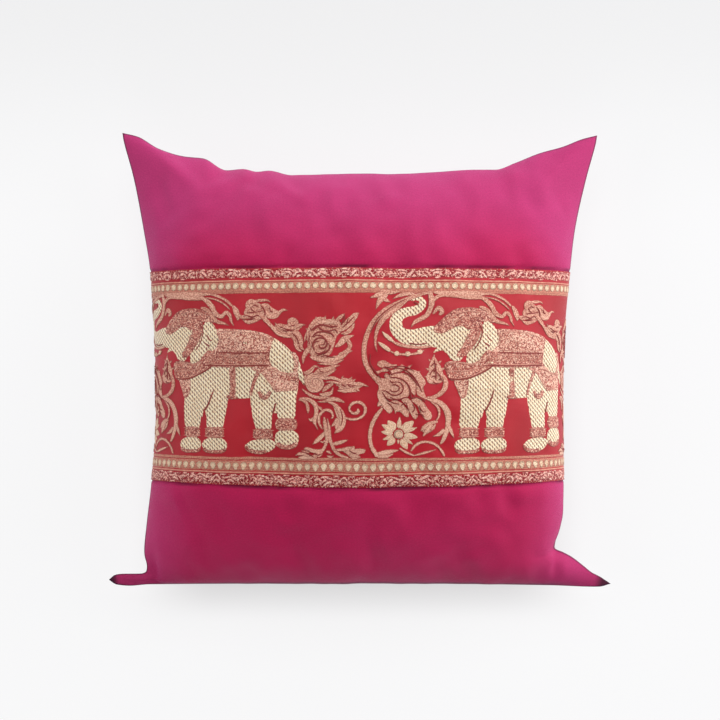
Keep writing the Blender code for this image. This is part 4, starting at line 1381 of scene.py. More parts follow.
SCROLLS: tuple[tuple[Row, ...], ...] = (
    ((62, 164, 1.2), (50, 161.5, 1.8), (36, 156, 2.3), (22, 148.5, 2.7), (12, 139, 2.5), (6, 128, 2.3),
     (3.4, 116, 2.3), (4.6, 104, 2.3), (9.5, 95, 2.3), (16, 88, 2.2), (22, 82, 1.4)),
    ((44, 160.5, 0.8), (33, 151.5, 2.0), (22, 143, 2.5), (15.4, 134, 1.9), (13, 125, 1.4), (13.2, 118, 1.0),
     (14.4, 112.5, 0.3)),
    ((23, 163, 2.6), (17, 157, 2.7), (13, 148.5, 0.2)),
    ((20, 163, 1.8), (14, 160.6, 2.0), (8, 158.5, 0.2)),
    ((19, 161, 1.8), (21, 157.4, 2.2), (26, 155, 0.2)),
    ((16, 164.6, 1.0), (24, 163.8, 2.4), (34, 164.4, 1.2)),
    ((27, 157.6, 0.3), (33, 160.6, 1.6), (42, 162.4, 1.6), (52, 160, 0.8)),
    ((58.5, 165, 2.0), (60.4, 157, 2.6), (59.2, 150, 2.4), (56, 144, 2.2), (50.6, 140.6, 2.2), (46, 138, 1.6),
     (42.4, 133.4, 0.2)),
    ((61, 144.6, 0.8), (65.6, 149.8, 2.2), (69.2, 147, 2.2), (66.4, 144.2, 1.2)),
    ((60, 150, 0.8), (62.5, 157, 1.6), (69, 161, 1.9), (80, 161.2, 2.4), (93, 160, 2.4), (104, 159, 1.4)),
    ((62, 163.6, 1.6), (75, 162.8, 2.6), (88, 163, 2.6), (101, 163, 2.2), (112, 162.8, 1.2)),
    ((98, 162, 1.4), (107, 158, 2.2), (113.6, 151.5, 2.5), (116.6, 145.6, 1.8), (122.4, 142, 1.0)),
    ((101.4, 151.4, 0.6), (104.6, 150.8, 1.7), (109, 148.8, 1.9), (113, 144.6, 2.1), (118, 139.4, 2.0),
     (125, 137.4, 1.2), (130, 135.4, 0.2)),
    ((113.6, 152, 1.0), (118, 145.8, 1.8), (122.6, 143.2, 1.9), (127, 146.6, 1.8), (130.6, 144, 1.7),
     (132, 139, 1.3), (134.6, 134.6, 0.2)),
    ((106, 163.6, 1.0), (117, 161.6, 1.3), (126, 157.5, 1.3), (132.4, 152, 1.1)),
    ((107, 160, 0.6), (117, 158, 0.9), (125, 153.8, 0.9), (130.4, 149, 0.7)),
    ((132.6, 153, 1.0), (136, 148, 2.6), (138, 143, 2.4), (137.6, 139.4, 0.3)),
    ((138, 144, 0.8), (143, 142.4, 2.2), (150, 144, 2.6), (156, 145.6, 2.4), (160.6, 142, 1.9),
     (165, 138, 1.4),
     (167.4, 134.4, 0.2)),
    ((142, 140.4, 0.3), (147, 138.2, 1.7), (153, 139.2, 1.6), (158.6, 140.6, 0.3)),
    ((148, 149.4, 1.0), (146.2, 153, 2.0), (149, 156, 2.1), (153.6, 154.6, 1.8), (154.6, 151, 1.0)),
    ((151, 156.4, 1.0), (157.6, 156.8, 1.5), (163, 157, 1.1), (166.6, 155, 0.3)),
    ((145, 147.4, 1.2), (152, 148.8, 2.0), (158, 151.4, 2.2), (163, 152.6, 1.8), (166, 149.6, 1.2)),
    ((159.4, 152.6, 1.2), (162.6, 147.4, 2.0), (166, 143.4, 2.4), (171, 143.2, 2.2), (174.4, 146.6, 1.6),
     (177.4, 148.6, 1.2), (181.6, 148, 0.3)),
    ((160, 140, 0.6), (165, 137, 1.5), (169, 133, 1.8), (172.6, 129, 1.8), (178, 126.8, 1.8),
     (184, 125.6, 1.0)),
    ((170, 138.2, 0.3), (173.4, 134.4, 1.3), (178, 132.6, 1.5), (182, 133, 0.8)),
    ((174.4, 132, 0.8), (180, 134, 2.0), (186, 133.8, 2.3), (190.6, 135.6, 1.5), (196.8, 136, 0.3)),
    ((182.4, 136, 1.0), (183, 139.6, 1.8), (187, 140.2, 1.8), (190.4, 137.4, 1.0)),
    ((178, 127, 1.2), (184, 129.4, 2.5), (189.4, 128, 2.8), (192.4, 122, 2.4), (192.8, 117, 1.7),
     (196.4, 113.8, 0.2)),
    ((186, 124.6, 0.4), (187.8, 119.4, 1.5), (190.4, 115, 1.3), (194, 113.4, 0.2)),
    ((194.4, 102.6, 0.3), (195, 109, 1.9), (198, 114, 2.1), (200.6, 119, 1.8), (199, 124, 1.4),
     (198.6, 130, 1.4),
     (202, 136.4, 1.8), (207, 140.8, 1.8), (212.6, 141.6, 0.8)),
    ((195.6, 121, 0.3), (196.4, 126, 1.2), (198, 131, 0.3)),
    ((202.6, 130.4, 1.0), (205.4, 135.4, 2.0), (211, 138, 2.4), (218, 138.6, 2.3), (224.6, 137, 1.2)),
    ((207, 132.4, 0.8), (213, 134, 1.8), (219.6, 133.4, 2.0), (226, 134.4, 1.0)),
    ((221, 138.6, 0.8), (225.6, 142, 1.9), (229.8, 145.6, 0.3)),
    ((223.6, 130.6, 1.0), (228.4, 133.4, 2.8), (234, 139, 3.4), (238.6, 144, 2.4), (241.8, 146, 0.3)),
    ((226, 128.4, 0.8), (231, 129, 1.9), (235.4, 133, 1.7), (238, 138, 0.3)),
    ((221, 117, 0.6), (225, 119.4, 2.2), (229, 123.6, 3.0), (233.6, 125.8, 1.7), (237.4, 127, 0.3)),
    ((228.4, 126, 0.8), (232.4, 122, 2.0), (233.8, 117.4, 1.9), (230.4, 113.4, 1.6), (224, 110.4, 1.4)),
    ((199.6, 109.4, 0.8), (205, 107.4, 2.0), (212, 106, 2.2), (220, 107, 2.6), (227, 109.4, 2.3),
     (232, 113, 1.6), (236.4, 114, 0.3)),
    ((206, 103.6, 0.3), (213, 103, 1.3), (222, 104, 1.5), (229.4, 107, 0.3)),
    ((194.4, 96.6, 0.3), (197, 95.4, 1.7), (201, 97.4, 2.0), (204.4, 101, 1.3), (209, 99.6, 0.3)),
    ((203, 94, 0.8), (208, 97, 2.3), (215, 98.4, 2.5), (221, 101, 1.5), (226, 102, 0.3)),
    ((206, 92.4, 0.8), (213, 93.8, 1.8), (219, 96.4, 1.3), (223, 99, 0.3)),
    ((196.4, 94, 1.2), (197.2, 86.6, 1.6), (201.6, 80.8, 1.6), (208, 81.4, 1.6), (210.8, 87, 1.5),
     (207.4, 91.6, 1.3),
     (203, 91.2, 1.2), (201.2, 87.6, 1.1), (203.6, 84.6, 1.0), (206, 86.8, 0.8)),
    ((207, 92, 1.0), (213, 91, 1.5), (219, 91.4, 1.6), (226, 89, 1.4)),
    ((212, 87.4, 0.3), (218.6, 88, 1.2), (226, 86.4, 1.2)),
    ((222, 84.6, 0.8), (228, 89, 2.3), (234, 88.4, 1.9), (239, 90.4, 0.4)),
    ((224, 82, 0.8), (230, 84.4, 2.4), (237, 85.4, 2.6), (243, 86, 1.8), (249.6, 84, 0.3)),
    ((223, 80.8, 0.6), (229, 80.4, 1.7), (235, 81, 2.0), (240.6, 79.4, 0.3)),
    ((226.6, 90.6, 1.0), (228.6, 93.4, 0.3)),
    ((210.4, 79.6, 0.8), (214, 83, 2.1), (218.6, 86, 1.3), (220.4, 87.6, 0.3)),
    ((208, 77.8, 0.8), (213, 77.4, 2.1), (218, 79, 1.7), (219.8, 84, 0.3)),
    ((193, 82.4, 0.4), (198, 78.6, 1.4), (204, 75.6, 1.6), (211, 74.6, 1.4), (218, 75.4, 0.5)),
    ((212.2, 59, 0.9), (213, 53, 1.8), (213.8, 46, 2.0), (214.6, 40.4, 1.8), (213.4, 35.6, 1.6),
     (211.2, 31, 1.6),
     (207.4, 27.2, 1.6), (202, 24.6, 1.4)),
    ((214.8, 58, 0.4), (216.4, 50, 1.3), (216.8, 42, 1.6), (218.4, 35.6, 1.7), (221.6, 29.6, 1.6),
     (226.4, 26, 1.5),
     (233, 23.6, 1.0)),
    ((212.6, 31.6, 0.8), (208, 29.8, 1.8), (202.6, 30.2, 1.9), (198, 32.2, 1.4), (194.6, 31.4, 0.3)),
    ((213.4, 29.8, 0.4), (216, 28.8, 1.3), (218.6, 27.0, 0.3)),
    ((211, 27.6, 0.3), (209, 26.0, 1.1), (206.6, 24.6, 0.8)),
    ((214, 26.0, 0.6), (217, 24.6, 1.3), (220.6, 25.8, 0.3)),
    ((211, 48, 0.6), (208, 54, 1.3), (208.4, 60, 1.4), (213, 64.4, 1.4), (218, 63.2, 1.3), (219.6, 59, 1.0),
     (217.6, 57, 0.6)),
    ((213.4, 46.4, 1.2), (210, 42.4, 2.0), (206, 38.6, 1.9), (202.2, 35.4, 0.4)),
    ((208.4, 38.6, 0.5), (211, 37.4, 1.1), (213.4, 39.4, 0.6)),
    ((190.4, 72.6, 0.5), (194, 73, 1.5), (197.6, 70, 1.7), (198.8, 65, 1.4), (198.6, 61, 0.2)),
    ((191, 74.2, 0.6), (199, 73.4, 1.7), (205, 68.4, 2.1), (205.6, 61, 2.0), (204.2, 55, 1.7),
     (207.2, 47.4, 0.2)),
    ((204, 59, 0.8), (201.6, 56, 1.5), (199, 57.6, 0.3)),
    ((205.4, 68, 0.8), (209.4, 65.6, 1.3), (210.6, 62, 0.4)),
    ((206, 71.4, 0.4), (212, 71.6, 1.2), (219, 73.6, 2.0), (225, 72.6, 1.7), (230, 70.4, 0.2)),
    ((212, 72.6, 0.6), (220, 69.6, 1.6), (225, 64, 2.6), (227.6, 57, 3.3), (226.4, 50, 2.7), (222, 46, 1.3),
     (220.4, 44.6, 0.2)),
    ((223.4, 58, 1.0), (221, 53.4, 1.7), (218, 50.4, 0.3)),
    ((227, 60, 0.8), (232, 57.2, 1.1), (239, 56.8, 1.3), (245, 60, 1.4), (246.6, 66, 1.4), (242.6, 70.6, 1.4),
     (236.4, 70.2, 1.3), (233.2, 65.6, 1.2), (236.2, 61.8, 1.3), (240.4, 62.6, 1.6), (240.4, 66, 1.2)),
    ((217, 35.6, 0.5), (222, 36.2, 1.7), (228, 38, 1.6), (232.6, 39.6, 0.2)),
    ((218, 31, 0.5), (226, 31, 1.4), (232, 32, 1.9), (236.6, 34, 0.2)),
    ((230, 29, 0.8), (238, 29.6, 2.2), (243, 31, 1.5), (246.6, 31.6, 0.2)),
    ((232, 27, 0.8), (238, 26, 1.8), (243, 24.8, 0.8)),
    ((228, 30, 0.6), (233, 27.4, 1.5), (236, 24.8, 1.2)),
    ((187.6, 25.8, 0.3), (191, 27.4, 1.4), (195.6, 27.2, 1.5), (200, 25.2, 1.2)),
    ((192.6, 30.2, 0.3), (196, 29.6, 0.9), (200.4, 28.4, 0.8)),
    ((70, 94, 1.4), (72.4, 88, 2.3), (71.2, 82, 2.4), (67, 77.6, 2.1), (62, 75.2, 1.5), (55.4, 74.8, 0.8)),
    ((53, 74.6, 1.0), (60, 73, 1.8), (67, 70.4, 2.4), (72.4, 65, 2.8), (74.8, 58, 2.8), (74.2, 50, 2.4),
     (71.6, 43, 2.1), (69, 37.4, 1.5), (66.8, 35, 0.3)),
    ((74, 53, 1.6), (76.8, 46.4, 1.8), (79.4, 40.4, 0.2)),
    ((71.4, 48.4, 1.6), (67, 44.2, 1.8), (60.6, 42, 0.2)),
    ((59, 71.8, 0.6), (65.4, 66.6, 1.3), (66.6, 60, 1.2), (63.4, 54.4, 0.8)),
    ((66, 54.6, 0.8), (60, 53.6, 2.0), (54, 50, 2.2), (50.6, 46.6, 0.3)),
    ((61, 53, 1.2), (57, 48.6, 2.2), (54.4, 44.8, 1.5), (52.6, 42, 0.2)),
    ((64, 53, 0.8), (61.4, 49.4, 1.6), (58.6, 46.4, 0.3)),
    ((19, 66.6, 1.2), (14, 60, 1.8), (10, 52, 1.8), (8.2, 43, 1.8), (9.5, 34, 1.8), (13, 28, 2.1),
     (15, 24.8, 2.0)),
    ((12, 27.4, 1.2), (19, 28, 2.5), (26, 29.6, 2.0), (33, 30.6, 0.2)),
    ((14, 25.2, 1.4), (22, 25.6, 1.8), (28, 27.6, 0.6)),
    ((42.4, 29.4, 1.0), (47, 35, 1.3), (54, 37.6, 1.3), (62, 36, 1.3), (68, 31, 1.3), (71.6, 24.8, 1.3)),
    ((32.4, 32.6, 0.8), (39, 28.6, 1.2), (46, 25.6, 1.0)),
    ((44, 25.6, 0.5), (50, 27, 1.2), (57, 29, 1.2), (64.6, 31, 0.3)),
)
LEAF_BLOBS: tuple[Outline, ...] = (
    ((143, 146.6), (146.4, 152.4), (150, 156), (155, 155.4), (159.6, 153), (165, 152.8), (171.4, 148.6),
     (176, 147),
     (171, 143), (165, 141.6), (158, 140.2), (151, 141.2), (146, 142.8)),
    ((169.6, 134.4), (174, 137.2), (180, 136.4), (183.4, 139.6), (188, 140.2), (191, 136.6), (194, 134.8),
     (190.4, 131), (192.2, 126), (192.6, 119.4), (190, 116.4), (187, 121), (182, 126.8), (176, 129)),
    ((224, 88), (229, 90.6), (235, 89.4), (241, 87), (245, 84.8), (239, 81.2), (231, 80), (225, 82)),
    ((207, 99), (213, 99.6), (219, 100.8), (222, 98), (216, 94.4), (209, 93), (205, 95)),
    ((60, 52.6), (55, 50.4), (52, 46.6), (55, 43.8), (60, 46.2), (63, 50)),
    ((220, 69), (225.4, 66), (229.6, 59), (229, 52), (224.6, 46), (221, 50), (222.8, 57), (221, 64)),
    ((199, 132), (203, 138.6), (209, 141.6), (216, 140.4), (222, 141), (226.4, 137), (227.4, 131), (223, 126),
     (221, 119), (218.6, 112), (213, 107.6), (206, 106.4), (201, 110), (198, 117), (198.6, 125)),
    ((62.6, 110), (66, 105.6), (69, 101), (70.8, 95), (70.4, 89), (66, 86), (60, 86), (56.2, 88), (55.6, 93),
     (58, 97), (58.2, 101.6), (60.4, 106)),
    ((196, 88), (198, 93.4), (203, 95.6), (208.6, 93), (211, 87), (208.6, 81.6), (203, 79.4), (197.6, 82)),
)
LEAF_LOBES: tuple[Outline, ...] = (
    ((14, 102), (15.2, 105.2), (20, 106.2), (24, 104.2), (27.4, 102.4), (31.2, 102.4), (28.6, 100),
     (24.6, 99),
     (21, 100.2), (17.6, 99.6)),
    ((12.4, 96.4), (16, 97.6), (20.4, 100), (24.2, 98), (22.4, 96.4), (18, 96.2), (14.6, 94.6)),
    ((19.6, 92.8), (21.8, 95.4), (24.8, 93.6), (26, 90.6), (23, 90.4)),
    ((24.6, 97), (28, 98.6), (32, 101), (35.4, 102.6), (37.6, 101), (36.8, 98), (34, 96), (29, 95.4),
     (25.4, 94.6)),
    ((37, 97.2), (41, 98.6), (46, 98), (49.6, 96.2), (51.4, 94), (55.2, 88), (52.4, 86.6), (49, 87), (46, 91),
     (41.4, 94.6)),
    ((49, 92.6), (52, 92), (55.4, 87.2), (53.6, 84), (54, 79), (55.4, 73.8), (51.4, 74.6), (47.6, 77.4),
     (46.8, 82),
     (46, 87)),
    ((25, 94.6), (32, 95.6), (38.6, 95), (43.6, 91), (47.4, 86), (46.6, 81.6), (46.2, 76), (43.4, 79),
     (42.6, 84),
     (38.6, 89.4), (32.4, 92), (25.4, 91.6)),
    ((15, 93), (18.4, 91), (24, 91.4), (31, 91), (37, 88.6), (41, 83), (41.4, 77), (38, 74), (31, 72.6),
     (24, 73.6),
     (17.6, 75.6), (14.2, 79), (15.6, 84.4), (12, 89)),
    ((15, 80), (14.4, 76), (16.4, 70.6), (19, 66.4), (21.6, 63.6), (24.6, 61.2), (27.4, 63.4), (27.4, 68),
     (24.4, 72),
     (19.6, 76)),
    ((17, 72.6), (14.6, 71), (14.4, 67.4), (18.4, 68.6)),
    ((24.6, 71), (27.4, 66), (29.6, 63), (34, 62.4), (37, 59.4), (40.6, 58.4), (40.6, 62), (38.6, 66.4),
     (35, 70.4),
     (29.4, 73)),
    ((34.6, 72.6), (39, 68), (41, 63.4), (43, 60), (45.4, 56.6), (47.4, 57.2), (48.6, 60.6), (47, 65.6),
     (44, 70.4),
     (40, 74.6), (36, 75.4)),
    ((42.6, 73), (47.4, 68.4), (50, 62.6), (53.6, 57.4), (57, 55.6), (60.2, 57.4), (60, 61.6), (57.4, 65),
     (54.4, 69.6),
     (50.6, 73.4), (46, 75.6)),
    ((190, 24.4), (195, 26.2), (200, 25.8), (205, 27), (206.6, 24.6), (202, 22.8), (194, 22.8)),
    ((195.4, 31.4), (198, 33), (201, 31.8), (205.6, 31.4), (209.4, 30.6), (207, 27.8), (201.4, 28.6),
     (198, 30.2)),
    ((230, 32), (232.8, 30.8), (234.4, 33.4), (237.8, 34.4), (236.8, 31.2), (240, 30), (244, 30.4),
     (247.2, 31.6),
     (246, 28.4), (241.6, 27), (241, 23.6), (236.6, 22.4), (233, 25), (230.6, 28)),
)
JAGS: tuple[tuple[Row, ...], ...] = (
    ((205, 139, 1.8), (205.4, 143.4, 0.3)), ((212, 140, 1.8), (213.6, 144, 0.3)),
    ((219, 139.6, 1.6), (220.4, 143.4, 0.3)), ((200.6, 131, 1.6), (195.8, 133, 0.3)),
    ((200, 123, 1.6), (195.4, 124.4, 0.3)), ((60, 105, 1.6), (57.6, 107.6, 0.3)),
    ((67, 104, 1.6), (70, 106, 0.3)), ((58.6, 98, 1.8), (54.8, 99.6, 0.3)),
    ((68.4, 98, 1.8), (72.6, 99.8, 0.3)), ((57.6, 92, 1.8), (53.4, 92.6, 0.3)),
    ((69, 92, 1.6), (73, 93, 0.3)), ((62.6, 107, 1.4), (63, 112, 0.3)),
    ((40, 99.6, 1.8), (44, 102.6, 0.3)), ((46, 95, 2.0), (51, 97, 0.3)),
    ((50, 89, 2.0), (55.4, 89.6, 0.3)), ((20, 70, 2.0), (16.6, 65.4, 0.3)),
    ((30, 66, 2.0), (29.6, 60.8, 0.3)), ((40, 66, 2.0), (41, 60.4, 0.3)),
    ((50, 67, 2.0), (50.6, 61.6, 0.3)), ((232, 88, 2.0), (236, 92.6, 0.3)),
    ((238, 83.4, 2.0), (242.4, 79.6, 0.3)), ((229, 82, 2.0), (230, 78, 0.3)),
)
LEAF_VEINS: tuple[tuple[Row, ...], ...] = (
    ((200.6, 130, 0.4), (206, 134.8, 0.8), (212, 135.6, 0.8), (218, 134, 0.8), (224, 134.6, 0.4)),
    ((202, 125, 0.4), (205.6, 129, 0.8), (212, 130, 0.8), (218, 128.6, 0.8), (221, 125, 0.4)),
    ((204.4, 113.6, 0.4), (202.8, 119, 0.8), (205.8, 123.8, 0.8), (211.4, 124.6, 0.8), (214.8, 120.8, 0.8),
     (212.8, 116.6, 0.8), (208.8, 116.6, 0.7), (207.8, 120, 0.4)),
    ((205.4, 109.6, 0.4), (210.6, 111.6, 0.8), (216, 114.6, 0.7), (218.4, 119.4, 0.4)),
    ((63.2, 107, 0.3), (64, 101, 0.6), (64.4, 95, 0.6), (64, 89, 0.4)),
    ((64, 100, 0.4), (60.4, 96.4, 0.5), (58.4, 93, 0.3)),
    ((64.2, 97, 0.4), (67.4, 93.4, 0.5), (68.8, 90, 0.3)),
    ((227, 133, 0.3), (232.4, 137.6, 0.6), (238, 143.4, 0.3)),
    ((27, 99.4, 0.3), (36, 98.6, 0.6), (43.4, 94, 0.6), (48.6, 86.4, 0.6), (52, 79, 0.3)),
    ((225.6, 66, 0.3), (227.6, 58, 0.6), (226, 50.4, 0.3)),
    ((22, 100, 0.3), (30, 101, 0.5), (38, 100.6, 0.5), (46, 96.6, 0.3)),
    ((25, 91.6, 0.4), (31, 91.4, 0.65), (37.4, 88.4, 0.7), (41.4, 83, 0.7), (42.4, 78, 0.6),
     (42.8, 74.6, 0.9),
     (47, 75.2, 0.6), (52, 73.4, 0.6), (55, 71.4, 0.3)),
    ((36.4, 95.6, 0.3), (42, 93, 0.6), (46, 88.4, 0.7), (48.4, 84, 0.3)),
    ((28.6, 88.2, 0.3), (33.4, 87.4, 0.55), (36, 83.4, 0.6), (34.6, 79.2, 0.6), (30.6, 77, 0.6),
     (26, 77.4, 0.6),
     (21.6, 80.4, 0.5), (18, 80.6, 0.3)),
    ((26, 85.2, 0.3), (29.6, 85.6, 0.5), (32.8, 83.4, 0.6), (31.6, 80.8, 0.5), (27.6, 79.8, 0.5),
     (24.4, 82, 0.3)),
    ((24.6, 75.6, 0.3), (28.6, 73.6, 0.6), (33.4, 73.6, 0.6), (37, 75, 0.5), (40.6, 75.6, 0.3)),
    ((18, 80.4, 0.3), (20.4, 76.4, 0.5), (24, 72.6, 0.5), (28, 70.4, 0.5), (33, 69.4, 0.3)),
    ((28, 64, 0.3), (26.6, 67, 0.5), (24.6, 69.4, 0.5), (22, 71, 0.3)),
    ((40.8, 63.4, 0.3), (39.6, 67, 0.6), (38.6, 70.4, 0.4)), ((33.6, 67.4, 0.3), (37, 70.6, 0.4),
                                                              (40, 70, 0.3)),
    ((44, 69.6, 0.3), (45.6, 66.4, 0.6), (44.6, 63.4, 0.5), (42.6, 62.4, 0.3)),
    ((49.6, 69, 0.3), (50.6, 65.4, 0.6), (53, 63, 0.5), (55.6, 63.4, 0.3)),
    ((46.4, 62.4, 0.3), (47.6, 60.4, 0.5), (49.4, 61.4, 0.5), (52, 60.6, 0.5), (54, 58.4, 0.3)),
    ((36, 97.8, 0.3), (33.4, 96, 0.5), (28, 95, 0.5), (25, 93.6, 0.3)),
    ((20, 99.8, 0.3), (23.4, 98.6, 0.6), (25.4, 96, 0.6), (26, 92.8, 0.3)),
    ((24.6, 90, 0.3), (26.4, 87.6, 0.6), (30, 87.8, 0.3)),
    ((199.6, 133.6, 0.3), (203, 131.2, 0.6), (206.6, 134.2, 0.7), (210.6, 131.4, 0.7), (216, 130.6, 0.6),
     (221.6, 131.6, 0.5), (223.6, 128, 0.4)),
    ((206, 137.6, 0.3), (210, 136, 0.5), (213, 137.4, 0.3)), ((216, 136.6, 0.3), (219.6, 134.4, 0.5),
                                                              (222, 135.6, 0.3)),
    ((225.6, 136, 0.3), (228, 138.6, 0.6), (229.4, 142.4, 0.6), (229, 145, 0.3)),
    ((230.8, 134.8, 0.3), (231.6, 138.8, 0.6), (233, 142, 0.3)),
    ((203, 125, 0.3), (206, 127, 0.55), (210, 126.4, 0.55), (213, 123.6, 0.55), (212.4, 119.6, 0.5),
     (209, 118.6, 0.3)),
    ((202, 119.6, 0.3), (205.4, 121.4, 0.5), (208.8, 122, 0.3)), ((200.6, 128, 0.3), (199.4, 123, 0.55),
                                                                  (201, 118, 0.3)),
    ((204, 113.6, 0.3), (207, 111.6, 0.55), (211, 112.6, 0.6), (214, 115, 0.3)),
    ((209, 108.4, 0.3), (213, 110, 0.6), (217.6, 108.8, 0.5), (222.6, 108.6, 0.3)),
    ((215.6, 121, 0.3), (217, 117, 0.5), (214.6, 113, 0.5), (211, 110.4, 0.3)),
    ((142, 142.8, 0.3), (146.6, 143.6, 0.6), (151.4, 142.4, 0.6), (155, 144, 0.5), (158, 143, 0.3)),
    ((146.4, 141, 0.3), (150, 140.6, 0.5), (154, 141.4, 0.3)), ((149, 151.6, 0.3), (150.6, 148.6, 0.6),
                                                                (153.6, 147, 0.3)),
    ((157, 153, 0.3), (160, 150.4, 0.6), (162, 146.6, 0.6), (161.6, 143.4, 0.3)),
    ((165.4, 151.4, 0.3), (166.6, 147.6, 0.5), (169.6, 146.6, 0.3)),
    ((176, 132.4, 0.3), (179, 130.6, 0.5), (182.4, 131.4, 0.5), (186, 130, 0.3)), ((182, 134, 0.3),
                                                                                   (185.6, 135.4, 0.5),
                                                                                   (189, 134.6, 0.3)),
    ((62, 98.4, 0.5), (63.2, 97, 0.6), (62, 95.6, 0.5)), ((66, 94.4, 0.6), (67, 93.4, 0.5),
                                                          (65.6, 92.4, 0.4)),
    ((60, 91.4, 0.4), (62.6, 93, 0.5), (64.4, 91.2, 0.4)), ((66, 89, 0.4), (68, 90.4, 0.5),
                                                            (70.4, 88.6, 0.3)),
    ((59.4, 100, 0.3), (62.6, 103.4, 0.5), (66, 101.6, 0.3)), ((61, 88.4, 0.3), (64, 86.6, 0.5),
                                                               (67.4, 87, 0.3)),
    ((203.6, 28.4, 0.4), (207, 26.4, 0.6), (209.6, 28.2, 0.4)),
    ((198, 28, 0.3), (201, 26.4, 0.5), (204, 24.4, 0.3)), ((233, 31, 0.3), (236, 28.6, 0.5),
                                                           (240, 27.8, 0.3)),
    ((208, 99.4, 0.4), (209.6, 96.6, 0.5), (213, 96, 0.4)), ((231, 86.6, 0.3), (234, 84, 0.6),
                                                             (237.6, 84.4, 0.3)),
    ((226, 87, 0.3), (228.6, 84.6, 0.5), (231.6, 83.4, 0.3)),
    ((147, 146, 0.3), (154, 146.6, 0.5), (161, 148, 0.3)),
    ((150, 151, 0.3), (153, 152.6, 0.5), (157, 150.6, 0.3)), ((174, 134.6, 0.3), (181, 132, 0.5),
                                                              (187, 131.6, 0.3)),
    ((184, 130, 0.3), (189, 124.6, 0.55), (190.4, 119, 0.3)), ((226, 85, 0.3), (233, 85.6, 0.5),
                                                               (240, 84.6, 0.3)),
    ((9, 112, 0.3), (8.4, 104, 0.45), (12.6, 97, 0.45), (18, 90.4, 0.3)),
    ((38, 157.6, 0.3), (26, 150.6, 0.5), (15, 141, 0.5), (8, 129, 0.3)),
)
LOTUS_CENTRE = (32.2, 44.2)
LOTUS_PETALS: tuple[Row, ...] = (
    (86, 14.8, 2.2), (64, 9.6, 1.4), (41, 17.0, 4.2), (20, 17.0, 2.0), (-10, 16.8, 3.2), (-36, 15.4, 1.8),
    (-60, 15.2, 3.5), (-92, 8.6, 1.6), (-135, 13.8, 3.5), (-161, 14.4, 2.2), (172, 15.0, 2.6),
    (150, 16.6, 3.0),
    (128, 14.8, 4.0),
)

CHEVRON_EDGE: tuple[tuple[Row, ...], ...] = (
    ((-3.6, 1.6, 0.55), (0, 4.8, 1.0), (3.6, 1.6, 0.55)),
    ((-8.6, 2.6, 0.5), (-4.4, 4.6, 0.95), (0, 8.4, 1.05), (4.4, 4.6, 0.95), (8.6, 2.6, 0.5)),
    ((26.2, 5.0, 1.1), (29.2, 5.0, 1.1)),
    ((27.7, 6.4, 0.7), (27.7, 8.8, 1.0)),
    ((27.7, 3.4, 0.7), (27.7, 1.4, 0.9)),
)
CHEVRON_SIDES: tuple[tuple[Row, ...], ...] = (
    ((4.4, 7.0, 0.5), (8, 6.2, 0.9), (12, 7.4, 1.0), (16, 8.8, 0.9), (20, 8.2, 0.5)),
    ((9, 3.4, 0.4), (12, 4.6, 1.2), (15, 3.4, 1.1), (17, 1.4, 0.4)),
    ((13, 5.8, 0.4), (15.6, 6.2, 1.0), (17.8, 5.0, 0.9), (18.4, 3.2, 0.4)),
    ((6, 0.9, 0.5), (9.6, 1.4, 0.9), (12.6, 0.9, 0.5)),
    ((3.4, 9.4, 0.4), (6, 9.2, 0.8), (9.8, 9.4, 0.4)),
    ((20, 1.4, 0.4), (19.4, 4.4, 1.1), (21.4, 6.8, 1.2), (24, 6.6, 1.0), (24.4, 4.6, 0.6)),
    ((21.4, 9.4, 0.4), (24, 8.9, 0.9), (26.6, 9.4, 0.4)),
    ((21.6, 3.2, 0.6), (23.6, 2.4, 1.0), (26, 1.2, 0.5)),
)
CROSS_EDGE: tuple[tuple[Row, ...], ...] = (
    ((0, 1.0, 0.8), (0, 7.8, 0.8)),
    ((-3.4, 4.4, 0.8), (3.4, 4.4, 0.8)),
    ((-2.0, 2.4, 0.7), (2.0, 6.4, 0.7)),
    ((-2.0, 6.4, 0.7), (2.0, 2.4, 0.7)),
    ((24.2, 1.4, 0.6), (24.2, 5.4, 1.1), (24.2, 7.8, 0.5)),
)
CROSS_SIDES: tuple[tuple[Row, ...], ...] = (
    ((4.4, 2.0, 0.4), (6.8, 4.6, 1.2), (10, 5.6, 1.2), (12.6, 3.8, 1.0), (11.4, 2.0, 0.5)),
    ((4.6, 7.4, 0.4), (8.6, 8.0, 0.9), (12, 7.4, 1.0), (15, 5.6, 0.5)),
    ((6.0, 0.8, 0.4), (9, 0.9, 0.8), (12, 0.8, 0.4)),
    ((13.6, 1.0, 0.5), (15.4, 3.2, 1.2), (17.6, 5.6, 1.1), (20.6, 6.4, 0.9), (22.2, 4.6, 0.5)),
    ((15.4, 7.8, 0.4), (18, 8.2, 0.9), (21.4, 7.8, 0.4)),
    ((17.0, 0.9, 0.5), (19.6, 2.6, 1.1), (22.4, 1.6, 0.6)),
)
CHEVRON_PERIOD = 55.36
CHEVRON_PHASE = -13.5
CROSS_PERIOD = 48.44
CROSS_PHASE = 26.0
CROSS_BASE = 175.7

# Small shapes that repeat, and the borders.
ZIGZAG_TURNS = 11
ZIGZAG_START = 107.0
ZIGZAG_PITCH = 5.0
ZIGZAG_LOW = (104.2, 0.3)
ZIGZAG_HIGH = (109.0, 0.45)
ROSETTE_RADII = (1.5, 1.5)
LOTUS_RADII = (4.2, 4.2)
LOTUS_FOOT = 4.4

